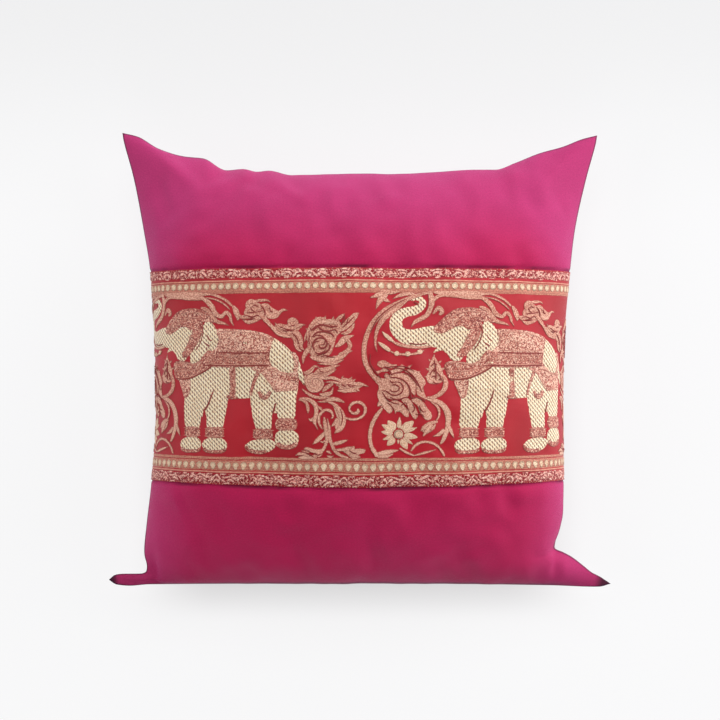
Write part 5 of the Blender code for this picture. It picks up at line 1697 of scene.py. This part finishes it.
BAND_REACH = 224.0
BEAD_COUNT = 34
BEAD_PITCH = 6.92
BEAD_PHASE = 4.15
BEAD_RADII = (2.95, 3.2)
UPPER_BEADS_Q = 169.4
DROP_MIDDLE = 17.0
DROP_RADII = (3.0, 3.0)
DROP_NARROWED = 0.72
DROP_DEPTH = 4.2
DROP_TURN = -0.2
LOWER_BORDER = 24.6
BORDER_BARS = ((164.7, 1.8), (169.4, 3.7), (22.8, 1.3), (16.8, 4.6))
BORDER_GROUNDS = ((180.6, 4.4), (5.0, 4.9))
BORDER_LINES = ((173.95, 0.8), (11.1, 0.9))
FRINGE_COUNT = 76
FRINGE_PITCH = 2.9
FRINGE_HALF = 0.7
FRINGES = ((0.35, 0.45, 0.5), (184.9, 184.8, 0.4))


@dataclass
class Weaver:
    """Collects woven strokes, patches and beads on the band and makes one piece of them.

    Every shape is drawn in the band's flat measure in millimetres. It stands a little
    above the cloth and its rim dips just below the cloth's face, as a float of weft does.
    """

    cloth: BandCloth
    seed: int = 7
    height: float = 0.32
    layer_step: float = 0.16
    rim_dip: float = 0.14
    rim_rise: float = 0.6
    ragged: float = 0.20
    spacing: float = 1.2
    least_half: float = 0.12
    least_round: float = 0.3
    least_end: float = 0.02
    flat_power: int = 6
    raised_power: int = 12
    stripe_points: int = 30
    profile: tuple[float, ...] = (-1.0, -0.88, -0.55, 0.0, 0.55, 0.88, 1.0)
    ring_mm: tuple[float, ...] = (0.0, 0.3, 0.9, 0.0, 0.0, 0.0, 0.0)
    ring_shares: tuple[float, ...] = (0.0, 0.02, 0.05, 0.2, 0.45, 0.72, 1.0)
    sheet_rows: tuple[float, ...] = (0.0, 0.03, 0.1, 0.2, 0.35, 0.5, 0.65, 0.8, 0.9, 0.97, 1.0)
    sheet_columns: int = 60
    follow_edge: bool = False
    parts: list[tuple[np.ndarray, np.ndarray]] = field(default_factory=list)
    faces: list[np.ndarray] = field(default_factory=list)
    count: int = 0

    def __post_init__(self) -> None:
        """Starts the fixed random order of the strokes' tones."""
        self.random = np.random.default_rng(self.seed)

    def add_grid(self, places: np.ndarray, share: np.ndarray, edge: np.ndarray, layer: int) -> None:
        """Adds one patch given as a grid.

        Args:
            places: Rows by columns of lengths along and up the band, in mm.
            share: How high each point stands, 0 at the rim to 1.
            edge: Distance to the rim in mm.
            layer: How many shapes it lies on.
        """
        rows, columns = edge.shape
        top = self.height + self.layer_step * layer
        lift = -self.rim_dip + (top + self.rim_dip) * share
        tone = float(self.random.random())
        flat = np.concatenate([places, lift[..., None]], axis=-1).reshape(-1, 3)
        extra = np.stack([edge, np.full(edge.shape, tone)], axis=-1).reshape(-1, 2)
        self.parts.append((flat, extra))
        self.faces.append(grid_faces(rows, columns, self.count))
        self.count += rows * columns

    def ribbon(self, rows: Sequence[Row], shift: float = 0.0, layer: int = 0) -> None:
        """A stroke: a domed profile carried along a smooth path, its width from the table.

        The path is a Catmull-Rom curve through the rows. Across it the height is 1 less
        a high even power of the share of the half width, so it rises steeply at the rim.

        Args:
            rows: p, q and half width in mm.
            shift: Added to p.
            layer: How many shapes it lies on.
        """
        knots = np.array(rows, float)
        knots[:, 0] += shift
        curve = catmull_rom(knots, self.spacing)
        path, half = curve[:, :2], np.maximum(curve[:, 2], self.least_half)
        distance = running(path, 0)
        to_end = np.minimum(distance, distance[-1] - distance)
        blunt = np.clip(to_end / np.maximum(half, self.least_round), 0.0, 1.0)
        half = half * np.sqrt(np.clip(1.0 - (1.0 - blunt) ** 2, self.least_end, 1.0))
        half = half + np.minimum(half, 1.0) * self.ragged * self.random.uniform(-1.0, 1.0, len(half))
        tangent = unit(np.gradient(path, axis=0))
        side = np.stack([tangent[:, 1], -tangent[:, 0]], axis=-1)
        across = np.array(self.profile)
        points = path[:, None, :] + side[:, None, :] * (half[:, None] * across[None, :])[..., None]
        power = self.raised_power if layer else self.flat_power
        share = (1.0 - across**power)[None, :] * np.ones((len(path), 1))
        share[0] = share[-1] = 0.0
        edge = (1.0 - np.abs(across))[None, :] * half[:, None]
        self.add_grid(points, share, edge, layer)

    def blob(self, outline: Outline, shift: float = 0.0, layer: int = 0, turns: int = 44) -> None:
        """A patch: a smooth closed outline drawn in ring by ring to its middle.

        The first rings keep a fixed distance from the rim, where the height rises as a
        root of that distance, and the rest are fixed shares of the way to the middle.

        Args:
            outline: Points round it in mm, in either direction.
            shift: Added to p.
            layer: How many shapes it lies on.
            turns: Points round each ring.
        """
        knots = np.array(outline, float)
        knots[:, 0] += shift
        area = np.sum(knots[:, 0] * np.roll(knots[:, 1], -1) - np.roll(knots[:, 0], -1) * knots[:, 1])
        if area < 0.0:
            knots = knots[::-1]
        rim = closed_curve(knots, turns)
        middle = rim.mean(axis=0)
        rim = rim + unit(rim - middle) * self.ragged * self.random.uniform(-1.0, 1.0, (turns, 1))
        reach = np.maximum(np.linalg.norm(rim - middle, axis=-1), 0.1)
        distances, shares = np.array(self.ring_mm)[:, None], np.array(self.ring_shares)[:, None]
        inward = np.minimum(np.maximum(distances / reach[None, :], shares), 1.0)
        points = rim[None] + (middle - rim)[None] * inward[..., None]
        points = np.concatenate([points, points[:, :1]], axis=1)
        edge = inward * reach[None, :]
        edge = np.concatenate([edge, edge[:, :1]], axis=1)
        share = np.clip(edge / self.rim_rise, 0.0, 1.0) ** 0.5
        self.add_grid(points, share, edge, layer)

    def sheet_between(self, upper: Outline, lower: Outline, shift: float = 0.0, layer: int = 0) -> None:
        """A patch ruled between two edges of as many points.

        Args:
            upper: Points along its upper edge in mm, left to right.
            lower: Points along its lower edge.
            shift: Added to p.
            layer: How many shapes it lies on.
        """
        high, low = (catmull_rom(np.array(rows, float) + (shift, 0.0), count=self.sheet_columns)
                     for rows in (upper, lower))
        up = np.array(self.sheet_rows)
        points = low[None] * (1.0 - up)[:, None, None] + high[None] * up[:, None, None]
        along = np.linspace(0.0, 1.0, len(low))
        inward = np.minimum(up, 1.0 - up)[:, None] * np.linalg.norm(high - low, axis=-1)[None, :]
        length = np.linalg.norm(high[-1] - high[0])
        edge = np.minimum(inward, np.minimum(along, 1.0 - along)[None, :] * length)
        share = np.clip(edge, 0.0, 1.0) ** 0.5
        self.add_grid(points, share, edge, layer)

    def strokes(self, table: Sequence[Sequence[Row]], shift: float, layer: int = 0) -> None:
        """A ribbon for each stroke of a table."""
        for rows in table:
            self.ribbon(rows, shift, layer)

    def patches(self, table: Sequence[Outline], shift: float, layer: int = 0, turns: int = 44) -> None:
        """A blob for each outline of a table."""
        for outline in table:
            self.blob(outline, shift, layer, turns)

    def stripes(self, table: Sequence[Span]) -> None:
        """Straight strokes along the whole band, each given by its q and its half width."""
        for q, half in table:
            self.ribbon([(p, q, half) for p in np.linspace(-BAND_REACH, BAND_REACH, self.stripe_points)])

    def build(self, name: str, finish: bpy.types.Material, slot: str = "brocade") -> bpy.types.Object:
        """Makes the piece: places every point on the band and leaves out what runs past its ends.

        Args:
            name: The piece's name.
            finish: Its material.
            slot: Not used.

        Returns:
            The piece, riding on the body.
        """
        flat = np.concatenate([part[0] for part in self.parts])
        extra = np.concatenate([part[1] for part in self.parts])
        faces = np.concatenate(self.faces)
        p, q, lift = flat[:, 0] * MM, flat[:, 1] * MM, flat[:, 2] * MM
        if self.follow_edge:
            low = self.cloth.low(p)
            border = LOWER_BORDER * MM
            q = np.where(q < border, low + q * (border - low) / border, q)
        left, right = self.cloth.ends(q)
        inside = (p > left) & (p < right)
        faces = faces[inside[faces].any(axis=1)]
        p = np.clip(p, left, right)
        points = self.cloth.place(p, q, lift)
        used, index = np.unique(faces, return_inverse=True)
        faces = index.reshape(-1, 4)
        maps = {"cloth": np.stack([p, q], axis=-1)[used], "stroke": extra[used]}
        piece = mesh_object(name, points[used], faces, maps)
        piece.data.materials.append(finish)
        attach(piece, BODY)
        LOG.info("%s: %d faces", name, len(faces))
        return piece


def repeat_edge(
    weaver: Weaver, middle: Sequence[Sequence[Row]], side: Sequence[Sequence[Row]], period: float,
    phase: float, base: float,
) -> None:
    """Repeats an edge motif along the band: its middle strokes, and its side strokes both ways.

    Args:
        weaver: Collects the strokes.
        middle: Strokes round the motif's middle, and at the joint with the next one.
        side: Strokes to the right of the middle, mirrored to its left.
        period: Distance between motifs in mm.
        phase: p of one motif's middle.
        base: q of the strip's lower edge.
    """
    reach = int(BAND_REACH // period) + 1
    for number in range(-reach - 1, reach + 2):
        start = phase + number * period
        for order, rows in enumerate(middle):
            weaver.ribbon([(start + u, base + v, w) for u, v, w in rows], layer=order % 2)
        for order, rows in enumerate(side):
            for way in (-1.0, 1.0):
                weaver.ribbon([(start + way * u, base + v, w) for u, v, w in rows], layer=order % 2)


def oval(centre: Span, radii: Span, corners: int) -> Outline:
    """Points round an oval, anticlockwise from its right."""
    turns = np.linspace(0.0, 2.0 * math.pi, corners, endpoint=False)
    return [(centre[0] + radii[0] * math.cos(a), centre[1] + radii[1] * math.sin(a)) for a in turns]


def catmull_rom(knots: np.ndarray, spacing: float = 1.0, count: int = 0) -> np.ndarray:
    """A smooth path through knots: in each span, a cubic with the neighbours' chord slopes.

    Args:
        knots: Rows of values, the first two of them a place.
        spacing: Distance between samples, where count is nought.
        count: Number of samples instead, spread evenly over the spans.

    Returns:
        The sampled rows.
    """
    ends = np.concatenate([2.0 * knots[:1] - knots[1:2], knots, 2.0 * knots[-1:] - knots[-2:-1]])
    if count:
        place = np.linspace(0.0, len(knots) - 1.0, count)
    else:
        spans = np.linalg.norm(np.diff(knots[:, :2], axis=0), axis=-1)
        steps = np.maximum(2, np.ceil(spans / spacing).astype(int))
        starts = np.arange(len(spans))
        place = np.concatenate([i + np.arange(n) / n for i, n in zip(starts, steps)] + [[len(spans)]])
    i = np.minimum(place.astype(int), len(knots) - 2)
    u = (place - i)[:, None]
    before, first, second, after = ends[i], ends[i + 1], ends[i + 2], ends[i + 3]
    slope_first, slope_second = (second - before) / 2.0, (after - first) / 2.0
    rise = second - first
    return (
        first
        + slope_first * u
        + (3.0 * rise - 2.0 * slope_first - slope_second) * u**2
        + (slope_first + slope_second - 2.0 * rise) * u**3
    )


def closed_curve(knots: np.ndarray, count: int) -> np.ndarray:
    """A smooth closed path through knots, evenly sampled by its parameter."""
    fine = 24
    looped = np.concatenate([knots[-2:], knots, knots[:3]])
    sampled = catmull_rom(looped, count=(len(looped) - 1) * fine + 1)
    inner = sampled[2 * fine:(2 + len(knots)) * fine]
    ring = np.concatenate([inner, inner[:1]])
    distance = running(ring, 0)
    place = np.linspace(0.0, distance[-1], count, endpoint=False)
    return np.stack([np.interp(place, distance, ring[:, k]) for k in range(2)], axis=-1)


@dataclass
class Gathering:
    """The cloth simulation that gathers the cover beside its seams.

    A coarse closed shell of the cushion is held at its side seams, under the band and
    on the back. The free cloth is a little too long, and the pressure of the filling
    blows it out, so that it gathers towards the seams. Only the fine part of the
    movement is kept, as heights along the normals.
    """

    form: CushionForm
    cells: int = 84
    pressure: float = 4.0
    slack: float = 0.035
    frames: int = 20
    band_margin: float = 0.004
    broad_passes: int = 60
    soft_passes: int = 1
    near_held: float = 1.6
    near_passes: int = 3
    edge_rise: float = 5.0
    corner_rise: float = 1.3
    cap: float = 0.0026
    strength: float = 0.52
    quality: int = 6
    mass: float = 0.2
    stretching: float = 15.0
    shearing: float = 8.0
    bending: float = 0.15

    def blurred(self, values: np.ndarray, passes: int) -> np.ndarray:
        """The values after that many passes of the weights 1, 2, 1 each way."""
        for _ in range(passes):
            wide = np.pad(values, 1, mode="edge")
            wide = (wide[:-2] + 2.0 * wide[1:-1] + wide[2:]) / 4.0
            values = (wide[:, :-2] + 2.0 * wide[:, 1:-1] + wide[:, 2:]) / 4.0
        return values

    def held(self, front: np.ndarray) -> np.ndarray:
        """True where the front grid is sewn down: its rim and the strip under the band."""
        y = front[..., 1] - self.form.centre[1]
        low = self.form.lower_seam(front[..., 0]) - self.band_margin
        pinned = (y > low) & (y < self.form.band_top + self.band_margin)
        pinned[[0, -1]] = True
        pinned[:, [0, -1]] = True
        return pinned

    def shell(self, front: np.ndarray, back: np.ndarray, pinned: np.ndarray) -> bpy.types.Object:
        """The coarse shell, with its held points in a vertex group."""
        points, faces = closed_shell(front, back, 0.0)
        mesh = bpy.data.meshes.new("gathering_shell")
        mesh.from_pydata(points.tolist(), [], faces.tolist())
        shell = bpy.data.objects.new("gathering_shell", mesh)
        bpy.context.scene.collection.objects.link(shell)
        group = shell.vertex_groups.new(name="held")
        free = np.flatnonzero(~pinned.reshape(-1))
        fixed = np.setdiff1d(np.arange(len(points)), free)
        group.add(fixed.tolist(), 1.0, "REPLACE")
        LOG.info("gathering: %d free points", len(free))
        return shell

    def run(self) -> np.ndarray:
        """Runs the simulation and measures its gathers.

        Returns:
            Heights along the normals in metres, rows by columns of the coarse grid.
        """
        side = np.linspace(-1.0, 1.0, self.cells + 1)
        across, up = np.meshgrid(side, side)
        front = self.form.front(across, up)
        back = self.form.back(across, up)
        back[[0, -1], :, :2] = front[[0, -1], :, :2]
        back[:, [0, -1], :2] = front[:, [0, -1], :2]
        pinned = self.held(front)
        shell = self.shell(front, back, pinned)
        cloth = shell.modifiers.new("gathering", "CLOTH")
        settings = cloth.settings
        settings.quality = self.quality
        settings.mass = self.mass
        settings.tension_stiffness = self.stretching
        settings.compression_stiffness = self.stretching
        settings.shear_stiffness = self.shearing
        settings.bending_stiffness = self.bending
        settings.use_pressure = True
        settings.uniform_pressure_force = self.pressure
        settings.vertex_group_mass = "held"
        settings.shrink_min = -self.slack
        settings.effector_weights.gravity = 0.0
        cloth.collision_settings.use_collision = False
        cloth.collision_settings.use_self_collision = False
        cloth.point_cache.frame_start = 1
        cloth.point_cache.frame_end = self.frames
        scene = bpy.context.scene
        before = scene.frame_current
        for frame in range(1, self.frames + 1):
            scene.frame_set(frame)
        moved = shell.evaluated_get(bpy.context.evaluated_depsgraph_get()).to_mesh()
        places = np.empty(len(moved.vertices) * 3)
        moved.vertices.foreach_get("co", places)
        places = places.reshape(-1, 3)[:pinned.size].reshape(front.shape)
        scene.frame_set(before)
        mesh = shell.data
        bpy.data.objects.remove(shell)
        bpy.data.meshes.remove(mesh)
        heights = np.sum((places - front) * self.form.outward(across, up), axis=-1)
        fine = heights - self.blurred(heights, self.broad_passes)
        fine = self.blurred(fine, self.soft_passes)
        held = self.near_held * self.blurred(pinned.astype(float), self.near_passes)
        window = np.clip(1.0 - held, 0.0, 1.0)
        window = np.where(pinned, 0.0, window)
        inside = np.minimum(1.0 - np.abs(across), 1.0 - np.abs(up))
        window = window * np.clip(inside * self.edge_rise, 0.0, 1.0)
        window = window * np.clip((2.0 - np.abs(across) - np.abs(up)) * self.corner_rise, 0.0, 1.0)
        most = np.abs(fine * window).max()
        LOG.info("gathering: moved up to %.1f mm, fine part %.2f mm", heights.max() / MM, most / MM)
        return self.strength * self.cap * np.tanh(fine / self.cap) * window


@dataclass
class Cushion:
    """The filled cover: both panels in one closed shell, with the seam groove round its edge."""

    form: CushionForm
    columns: int = 168
    rows: int = 168
    groove: float = 0.0007
    seam_density: float = 2.0
    seam_reach: float = 0.010
    samples: int = 2001
    fill: float = 0.9

    def row_places(self) -> np.ndarray:
        """Row coordinates, closer together beside the band seams."""
        up = np.linspace(-1.0, 1.0, self.samples)
        y = self.form.middle(up)
        seams = (self.form.band_bottom, self.form.band_top)
        near = sum(bell(y - seam, self.seam_reach) for seam in seams)
        return crowded(up, near, self.seam_density, self.rows + 1)

    def measures(self, grid: np.ndarray) -> np.ndarray:
        """Lengths along the cloth from the grid's middle, across and up, for the weave."""
        across, up = running(grid, 1), running(grid, 0)
        across = across - across[:, [grid.shape[1] // 2]]
        up = up - up[[grid.shape[0] // 2]]
        return np.stack([across, up], axis=-1)

    def from_edges(self, grid: np.ndarray, front: bool) -> np.ndarray:
        """Distances seen from above, to the panel's nearest edge and the band's nearest long edge.

        Args:
            grid: Rows by columns of points of a panel.
            front: True for the panel that carries the band.

        Returns:
            Both distances in metres at each point. On the back the second is a long way.
        """
        across, up = running(grid[..., :2], 1), running(grid[..., :2], 0)
        aside, along = across[:, [-1]] - across, up[[-1]] - up
        near = np.minimum(np.minimum(across, aside), np.minimum(up, along))
        y = grid[..., 1] - self.form.centre[1]
        outside = np.maximum(self.form.lower_seam(grid[..., 0]) - y, y - self.form.band_top)
        return np.stack([near, outside if front else np.ones_like(near)], axis=-1)

    def build(self) -> bpy.types.Object:
        """Makes the piece and dresses it."""
        across = np.linspace(-1.0, 1.0, self.columns + 1)[None, :]
        up = self.row_places()[:, None]
        front = self.form.front(across, up)
        back = self.form.back(across, up)
        on_edge = (np.abs(across) > 1.0 - EDGE_STEP) | (np.abs(up) > 1.0 - EDGE_STEP)
        on_edge = np.broadcast_to(on_edge, front.shape[:2])
        back[on_edge, :2] = front[on_edge, :2]
        points, faces = closed_shell(front, back, self.groove)
        maps = {
            "cloth": shell_map(self.measures(front), self.measures(back)),
            # Distances that the cover's material paints its seam and band shadows from.
            "edge": shell_map(self.from_edges(front, True), self.from_edges(back, False)),
        }
        piece = mesh_object("cushion_cover", points, faces, maps)
        piece.data.materials.append(CoverFinish().material())
        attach(piece, BODY)
        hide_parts("cushion")
        LOG.info("cushion_cover: %d faces", len(faces))
        return piece


@dataclass
class Band:
    """The patterned strip: the satin ground and everything woven on it."""

    cloth: BandCloth
    rows: int = 92
    columns: int = 210
    edge_density: float = 2.0
    edge_reach: float = 0.010
    samples: int = 1001

    def ground(self) -> bpy.types.Object:
        """The strip itself: a closed sheet between its two faces, a gap above the cover."""
        share = np.linspace(0.0, 1.0, self.samples)
        length = self.cloth.top
        near = bell(share * length, self.edge_reach) + bell((1.0 - share) * length, self.edge_reach)
        rise = crowded(share, near, self.edge_density, self.rows + 1)[:, None]
        across = np.linspace(-1.0, 1.0, self.columns + 1)[None, :]
        left, right = self.cloth.ends(rise * length)
        p = np.where(across > 0.0, across * right, -across * left)
        low = self.cloth.low(p)
        q = low + rise * (length - low)
        front = self.cloth.place(p, q, np.zeros_like(p))
        back = self.cloth.place(p, q, np.full_like(p, -self.cloth.thickness))
        points, faces = closed_shell(front, back, 0.0)
        flat = np.stack([p, q], axis=-1)
        piece = mesh_object("brocade_strip", points, faces, {"cloth": shell_map(flat, flat)})
        piece.data.materials.append(SatinFinish().material())
        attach(piece, BODY)
        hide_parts("brocade_band")
        return piece

    def animals(self) -> list[bpy.types.Object]:
        """The elephants: cream skin, their figured cloths and straps, and dark creases."""
        skin = Weaver(self.cloth, seed=11)
        cloths = Weaver(self.cloth, seed=12)
        straps = Weaver(self.cloth, seed=13)
        creases = Weaver(self.cloth, seed=14, height=0.50)
        lines = Weaver(self.cloth, seed=15, height=0.42, ragged=0.45)
        for shift in ELEPHANT_TILES:
            skin.sheet_between(BARREL_TOP, BARREL_BOTTOM, shift)
            skin.patches(SKIN_BLOBS, shift)
            skin.strokes(SKIN_STROKES, shift)
            skin.patches((EAR, RUMP), shift, 2)
            cloths.patches(CLOTH_BLOBS, shift, 1, 64)
            straps.patches(STRAP_BLOBS, shift, 1, 64)
            straps.strokes(STRAP_STROKES + BANDS, shift, 1)
            creases.strokes(CREASES, shift, 2)
            lines.strokes(HARNESS_LINES, shift, 2)
            for number in range(ZIGZAG_TURNS):
                start = ZIGZAG_START + ZIGZAG_PITCH * number
                middle, end = start + ZIGZAG_PITCH / 2.0, start + ZIGZAG_PITCH
                lines.ribbon(((start, *ZIGZAG_LOW), (middle, *ZIGZAG_HIGH), (end, *ZIGZAG_LOW)), shift, 2)
            lines.patches([oval(place, ROSETTE_RADII, 8) for place in ROSETTES], shift, 2, 10)
        crease = ScrollFinish("crease_rose", linear(136, 52, 44), linear(150, 66, 54))
        harness = ScrollFinish(
            "harness_weft", linear(222, 160, 138), linear(250, 208, 184), linear(176, 104, 88))
        return [
            skin.build("elephant_skins", FloatFinish().material()),
            cloths.build("elephant_cloths", SpeckleFinish("saddle_speckle", 0.44, 0.24).material()),
            straps.build("elephant_straps", SpeckleFinish("strap_speckle", 0.27, 0.34).material()),
            creases.build("leg_creases", crease.material()),
            lines.build("harness_lines", harness.material()),
        ]

    def petal(self, turn: float, reach: float, half: float) -> list[Row]:
        """A petal's stroke, out from the lotus's middle at that turn, swelling and then pointed."""
        x, y = LOTUS_CENTRE
        way_x, way_y = math.cos(math.radians(turn)), math.sin(math.radians(turn))
        stops = (
            (LOTUS_FOOT, 0.5 * half), (0.38 * reach + 1.8, 0.92 * half), (0.66 * reach, 0.9 * half),
            (0.87 * reach, 0.5 * half), (reach, 0.2),
        )
        return [(x + way_x * far, y + way_y * far, wide) for far, wide in stops]

    def plants(self) -> list[bpy.types.Object]:
        """The scrolling vines and leaves, their veins, and the lotus."""
        scrolls = Weaver(self.cloth, seed=21)
        veins = Weaver(self.cloth, seed=22, height=0.50)
        lotus = Weaver(self.cloth, seed=23)
        for shift in ELEPHANT_TILES:
            scrolls.patches(LEAF_BLOBS, shift)
            scrolls.strokes(JAGS, shift)
            for number, rows in enumerate(SCROLLS):
                scrolls.ribbon(rows, shift, 1 + number % 2)
            scrolls.strokes(GARLANDS, shift, 1)
            lotus.strokes(TUSK_TIPS + PEARLS, shift, 3)
            veins.strokes(LEAF_VEINS, shift, 3)
            scrolls.patches(LEAF_LOBES, shift, 1)
            lotus.strokes([self.petal(*row) for row in LOTUS_PETALS], shift)
            lotus.blob(oval(LOTUS_CENTRE, LOTUS_RADII, 8), shift, 2, 20)
        vein = ScrollFinish("vein_rose", linear(136, 46, 42), linear(146, 56, 48))
        flower = ScrollFinish(
            "lotus_weft", linear(220, 168, 138), linear(246, 216, 184), linear(136, 52, 46), outline_mm=0.75)
        return [
            scrolls.build("scrolls_and_leaves", ScrollFinish("rose_gold_scrolls", low_light=0.55).material()),
            veins.build("leaf_veins", vein.material()),
            lotus.build("lotus_flowers", flower.material()),
        ]

    def drop(self, p: float) -> Outline:
        """A hanging bead's outline: a half oval above, narrower and longer below."""
        outline = []
        for x, y in oval((0.0, 0.0), (1.0, 1.0), 10):
            wide = 1.0 if y > DROP_TURN else DROP_NARROWED
            tall = DROP_RADII[1] if y > 0.0 else DROP_DEPTH
            outline.append((p + DROP_RADII[0] * x * wide, DROP_MIDDLE + tall * y))
        return outline

    def borders(self) -> list[bpy.types.Object]:
        """The beaded borders with their bars and lines, and the scrolling outer edges."""
        beads = Weaver(self.cloth, seed=31, height=0.45, follow_edge=True)
        bars = Weaver(self.cloth, seed=32, height=0.22, follow_edge=True, spacing=3.0)
        grounds = Weaver(self.cloth, seed=35, height=0.10, follow_edge=True, spacing=3.0)
        lines = Weaver(self.cloth, seed=33, height=0.34, follow_edge=True, spacing=3.0)
        scrolls = Weaver(self.cloth, seed=34, height=0.34, ragged=0.5, follow_edge=True)
        for number in range(-BEAD_COUNT, BEAD_COUNT):
            p = BEAD_PHASE + BEAD_PITCH * number
            beads.blob(oval((p, UPPER_BEADS_Q), BEAD_RADII, 10), turns=14)
            beads.blob(self.drop(p), turns=14)
        bars.stripes(BORDER_BARS)
        grounds.stripes(BORDER_GROUNDS)
        lines.stripes(BORDER_LINES)
        repeat_edge(scrolls, CHEVRON_EDGE, CHEVRON_SIDES, CHEVRON_PERIOD, CHEVRON_PHASE, 0.0)
        repeat_edge(scrolls, CROSS_EDGE, CROSS_SIDES, CROSS_PERIOD, CROSS_PHASE, CROSS_BASE)
        for number in range(-FRINGE_COUNT, FRINGE_COUNT + 1):
            p = number * FRINGE_PITCH
            for first, second, half in FRINGES:
                scrolls.ribbon([(p - FRINGE_HALF, first, half), (p + FRINGE_HALF, second, half)])
        bar = ScrollFinish(
            "bar_weft", linear(176, 98, 80), linear(216, 146, 122), linear(146, 64, 54),
            outline_mm=0.6, contour_share=0.35)
        line = ScrollFinish("line_weft", linear(214, 136, 116), linear(232, 168, 144), linear(180, 96, 80))
        bead = ScrollFinish(
            "bead_weft", linear(226, 180, 146), linear(252, 228, 196), linear(142, 76, 58),
            outline_mm=0.75, contour_share=0.22)
        edge = ScrollFinish(
            "edge_weft", linear(222, 134, 122), linear(255, 214, 196), linear(150, 26, 42),
            outline_mm=0.5, contour_share=0.2, breaks=0.26)
        return [
            bars.build("border_bars", bar.material()),
            grounds.build("border_grounds", CurlFinish().material()),
            lines.build("border_lines", line.material()),
            beads.build("border_beads", bead.material()),
            scrolls.build("edge_scrolls", edge.material()),
        ]

    def build(self) -> list[bpy.types.Object]:
        strip = self.ground()
        figures = self.animals() + self.plants() + self.borders()
        return [strip, *figures]


@dataclass
class Studio:
    """A plain pale floor, soft lights and the camera straight above the face."""

    camera_place: Row = (0.0002, -0.00037, 1.512)
    lens: float = 81.5
    sensor: float = 36.0
    sight: float = 50.0
    floor_half: float = 4.0
    floor_points: int = 41
    floor_level: float = -0.0004
    flat_share: float = 0.7
    roll: float = 0.02
    distance: float = 2.4
    light_side: float = 1.2
    target: Row = (0.0, 0.0, 0.05)
    lights: tuple[tuple[str, float, float, float], ...] = (
        ("right_light", 0.0, 12.0, 27.8),
        ("upper_right_light", 45.0, 12.0, 19.4),
        ("upper_light", 90.0, 12.0, 15.0),
        ("upper_left_light", 135.0, 12.0, 5.3),
        ("high_right_light", 22.0, 35.0, 17.9),
        ("left_light", 180.0, 35.0, 18.6),
        ("lower_light", 270.0, 35.0, 12.5),
        ("high_light", 90.0, 60.0, 19.4),
    )

    def floor(self) -> bpy.types.Object:
        """A wide level floor under the cushion, a grid with a very slight roll to its far edges."""
        line = np.linspace(-1.0, 1.0, self.floor_points)
        x = self.floor_half * np.sign(line) * line**2
        grid_x, grid_y = np.meshgrid(x, x)
        far = np.maximum(np.hypot(grid_x, grid_y) / self.floor_half - self.flat_share, 0.0)
        level = self.floor_level - self.roll * far**2
        points = np.stack([grid_x, grid_y, level], axis=-1).reshape(-1, 3)
        faces = grid_faces(self.floor_points, self.floor_points)
        floor = mesh_object("floor", points, faces, {"cloth": points[:, :2]})
        floor.data.materials.append(PaperFinish().material())
        return floor

    def light(self, name: str, turn_deg: float, height_deg: float, power: float) -> None:
        """A soft square light that faces the cushion.

        Args:
            name: Its name.
            turn_deg: Its direction seen from above, anticlockwise from the right.
            height_deg: How high it stands over the floor.
            power: Watts.
        """
        turn, height = math.radians(turn_deg), math.radians(height_deg)
        level = self.distance * math.cos(height)
        way = Vector((level * math.cos(turn), level * math.sin(turn), self.distance * math.sin(height)))
        data = bpy.data.lights.new(name, "AREA")
        data.shape = "RECTANGLE"
        data.size = data.size_y = self.light_side
        data.energy = power
        lamp = bpy.data.objects.new(name, data)
        bpy.context.scene.collection.objects.link(lamp)
        lamp.location = Vector(self.target) + way
        lamp.rotation_euler = (-way).to_track_quat("-Z", "Y").to_euler()

    def camera(self) -> None:
        """The camera, looking straight down at the face with the upper edge at the top."""
        data = bpy.data.cameras.new("camera")
        data.lens = self.lens
        data.sensor_width = self.sensor
        data.clip_end = self.sight
        data.dof.use_dof = False
        camera = bpy.data.objects.new("camera", data)
        camera.location = self.camera_place
        bpy.context.scene.collection.objects.link(camera)
        bpy.context.scene.camera = camera

    def build(self) -> None:
        """Sets the floor, lights, surroundings and camera."""
        self.floor()
        self.camera()
        for row in self.lights:
            self.light(*row)
        world = bpy.data.worlds.new("soft_room")
        world.use_nodes = True
        background = world.node_tree.nodes["Background"]
        background.inputs["Color"].default_value = (1.0, 1.0, 1.0, 1.0)
        background.inputs["Strength"].default_value = 0.0
        bpy.context.scene.world = world
        bpy.context.scene.view_settings.view_transform = "Standard"


def main() -> None:
    """Builds the pieces in order and logs their names."""
    logging.basicConfig(level=logging.INFO, format="%(name)s: %(message)s")
    form = CushionForm()
    form.gathers = Gathering(form).run()
    Cushion(form).build()
    for piece in Band(BandCloth(form)).build():
        LOG.info("made %s", piece.name)
    Studio().build()


if __name__ == "__main__":
    main()
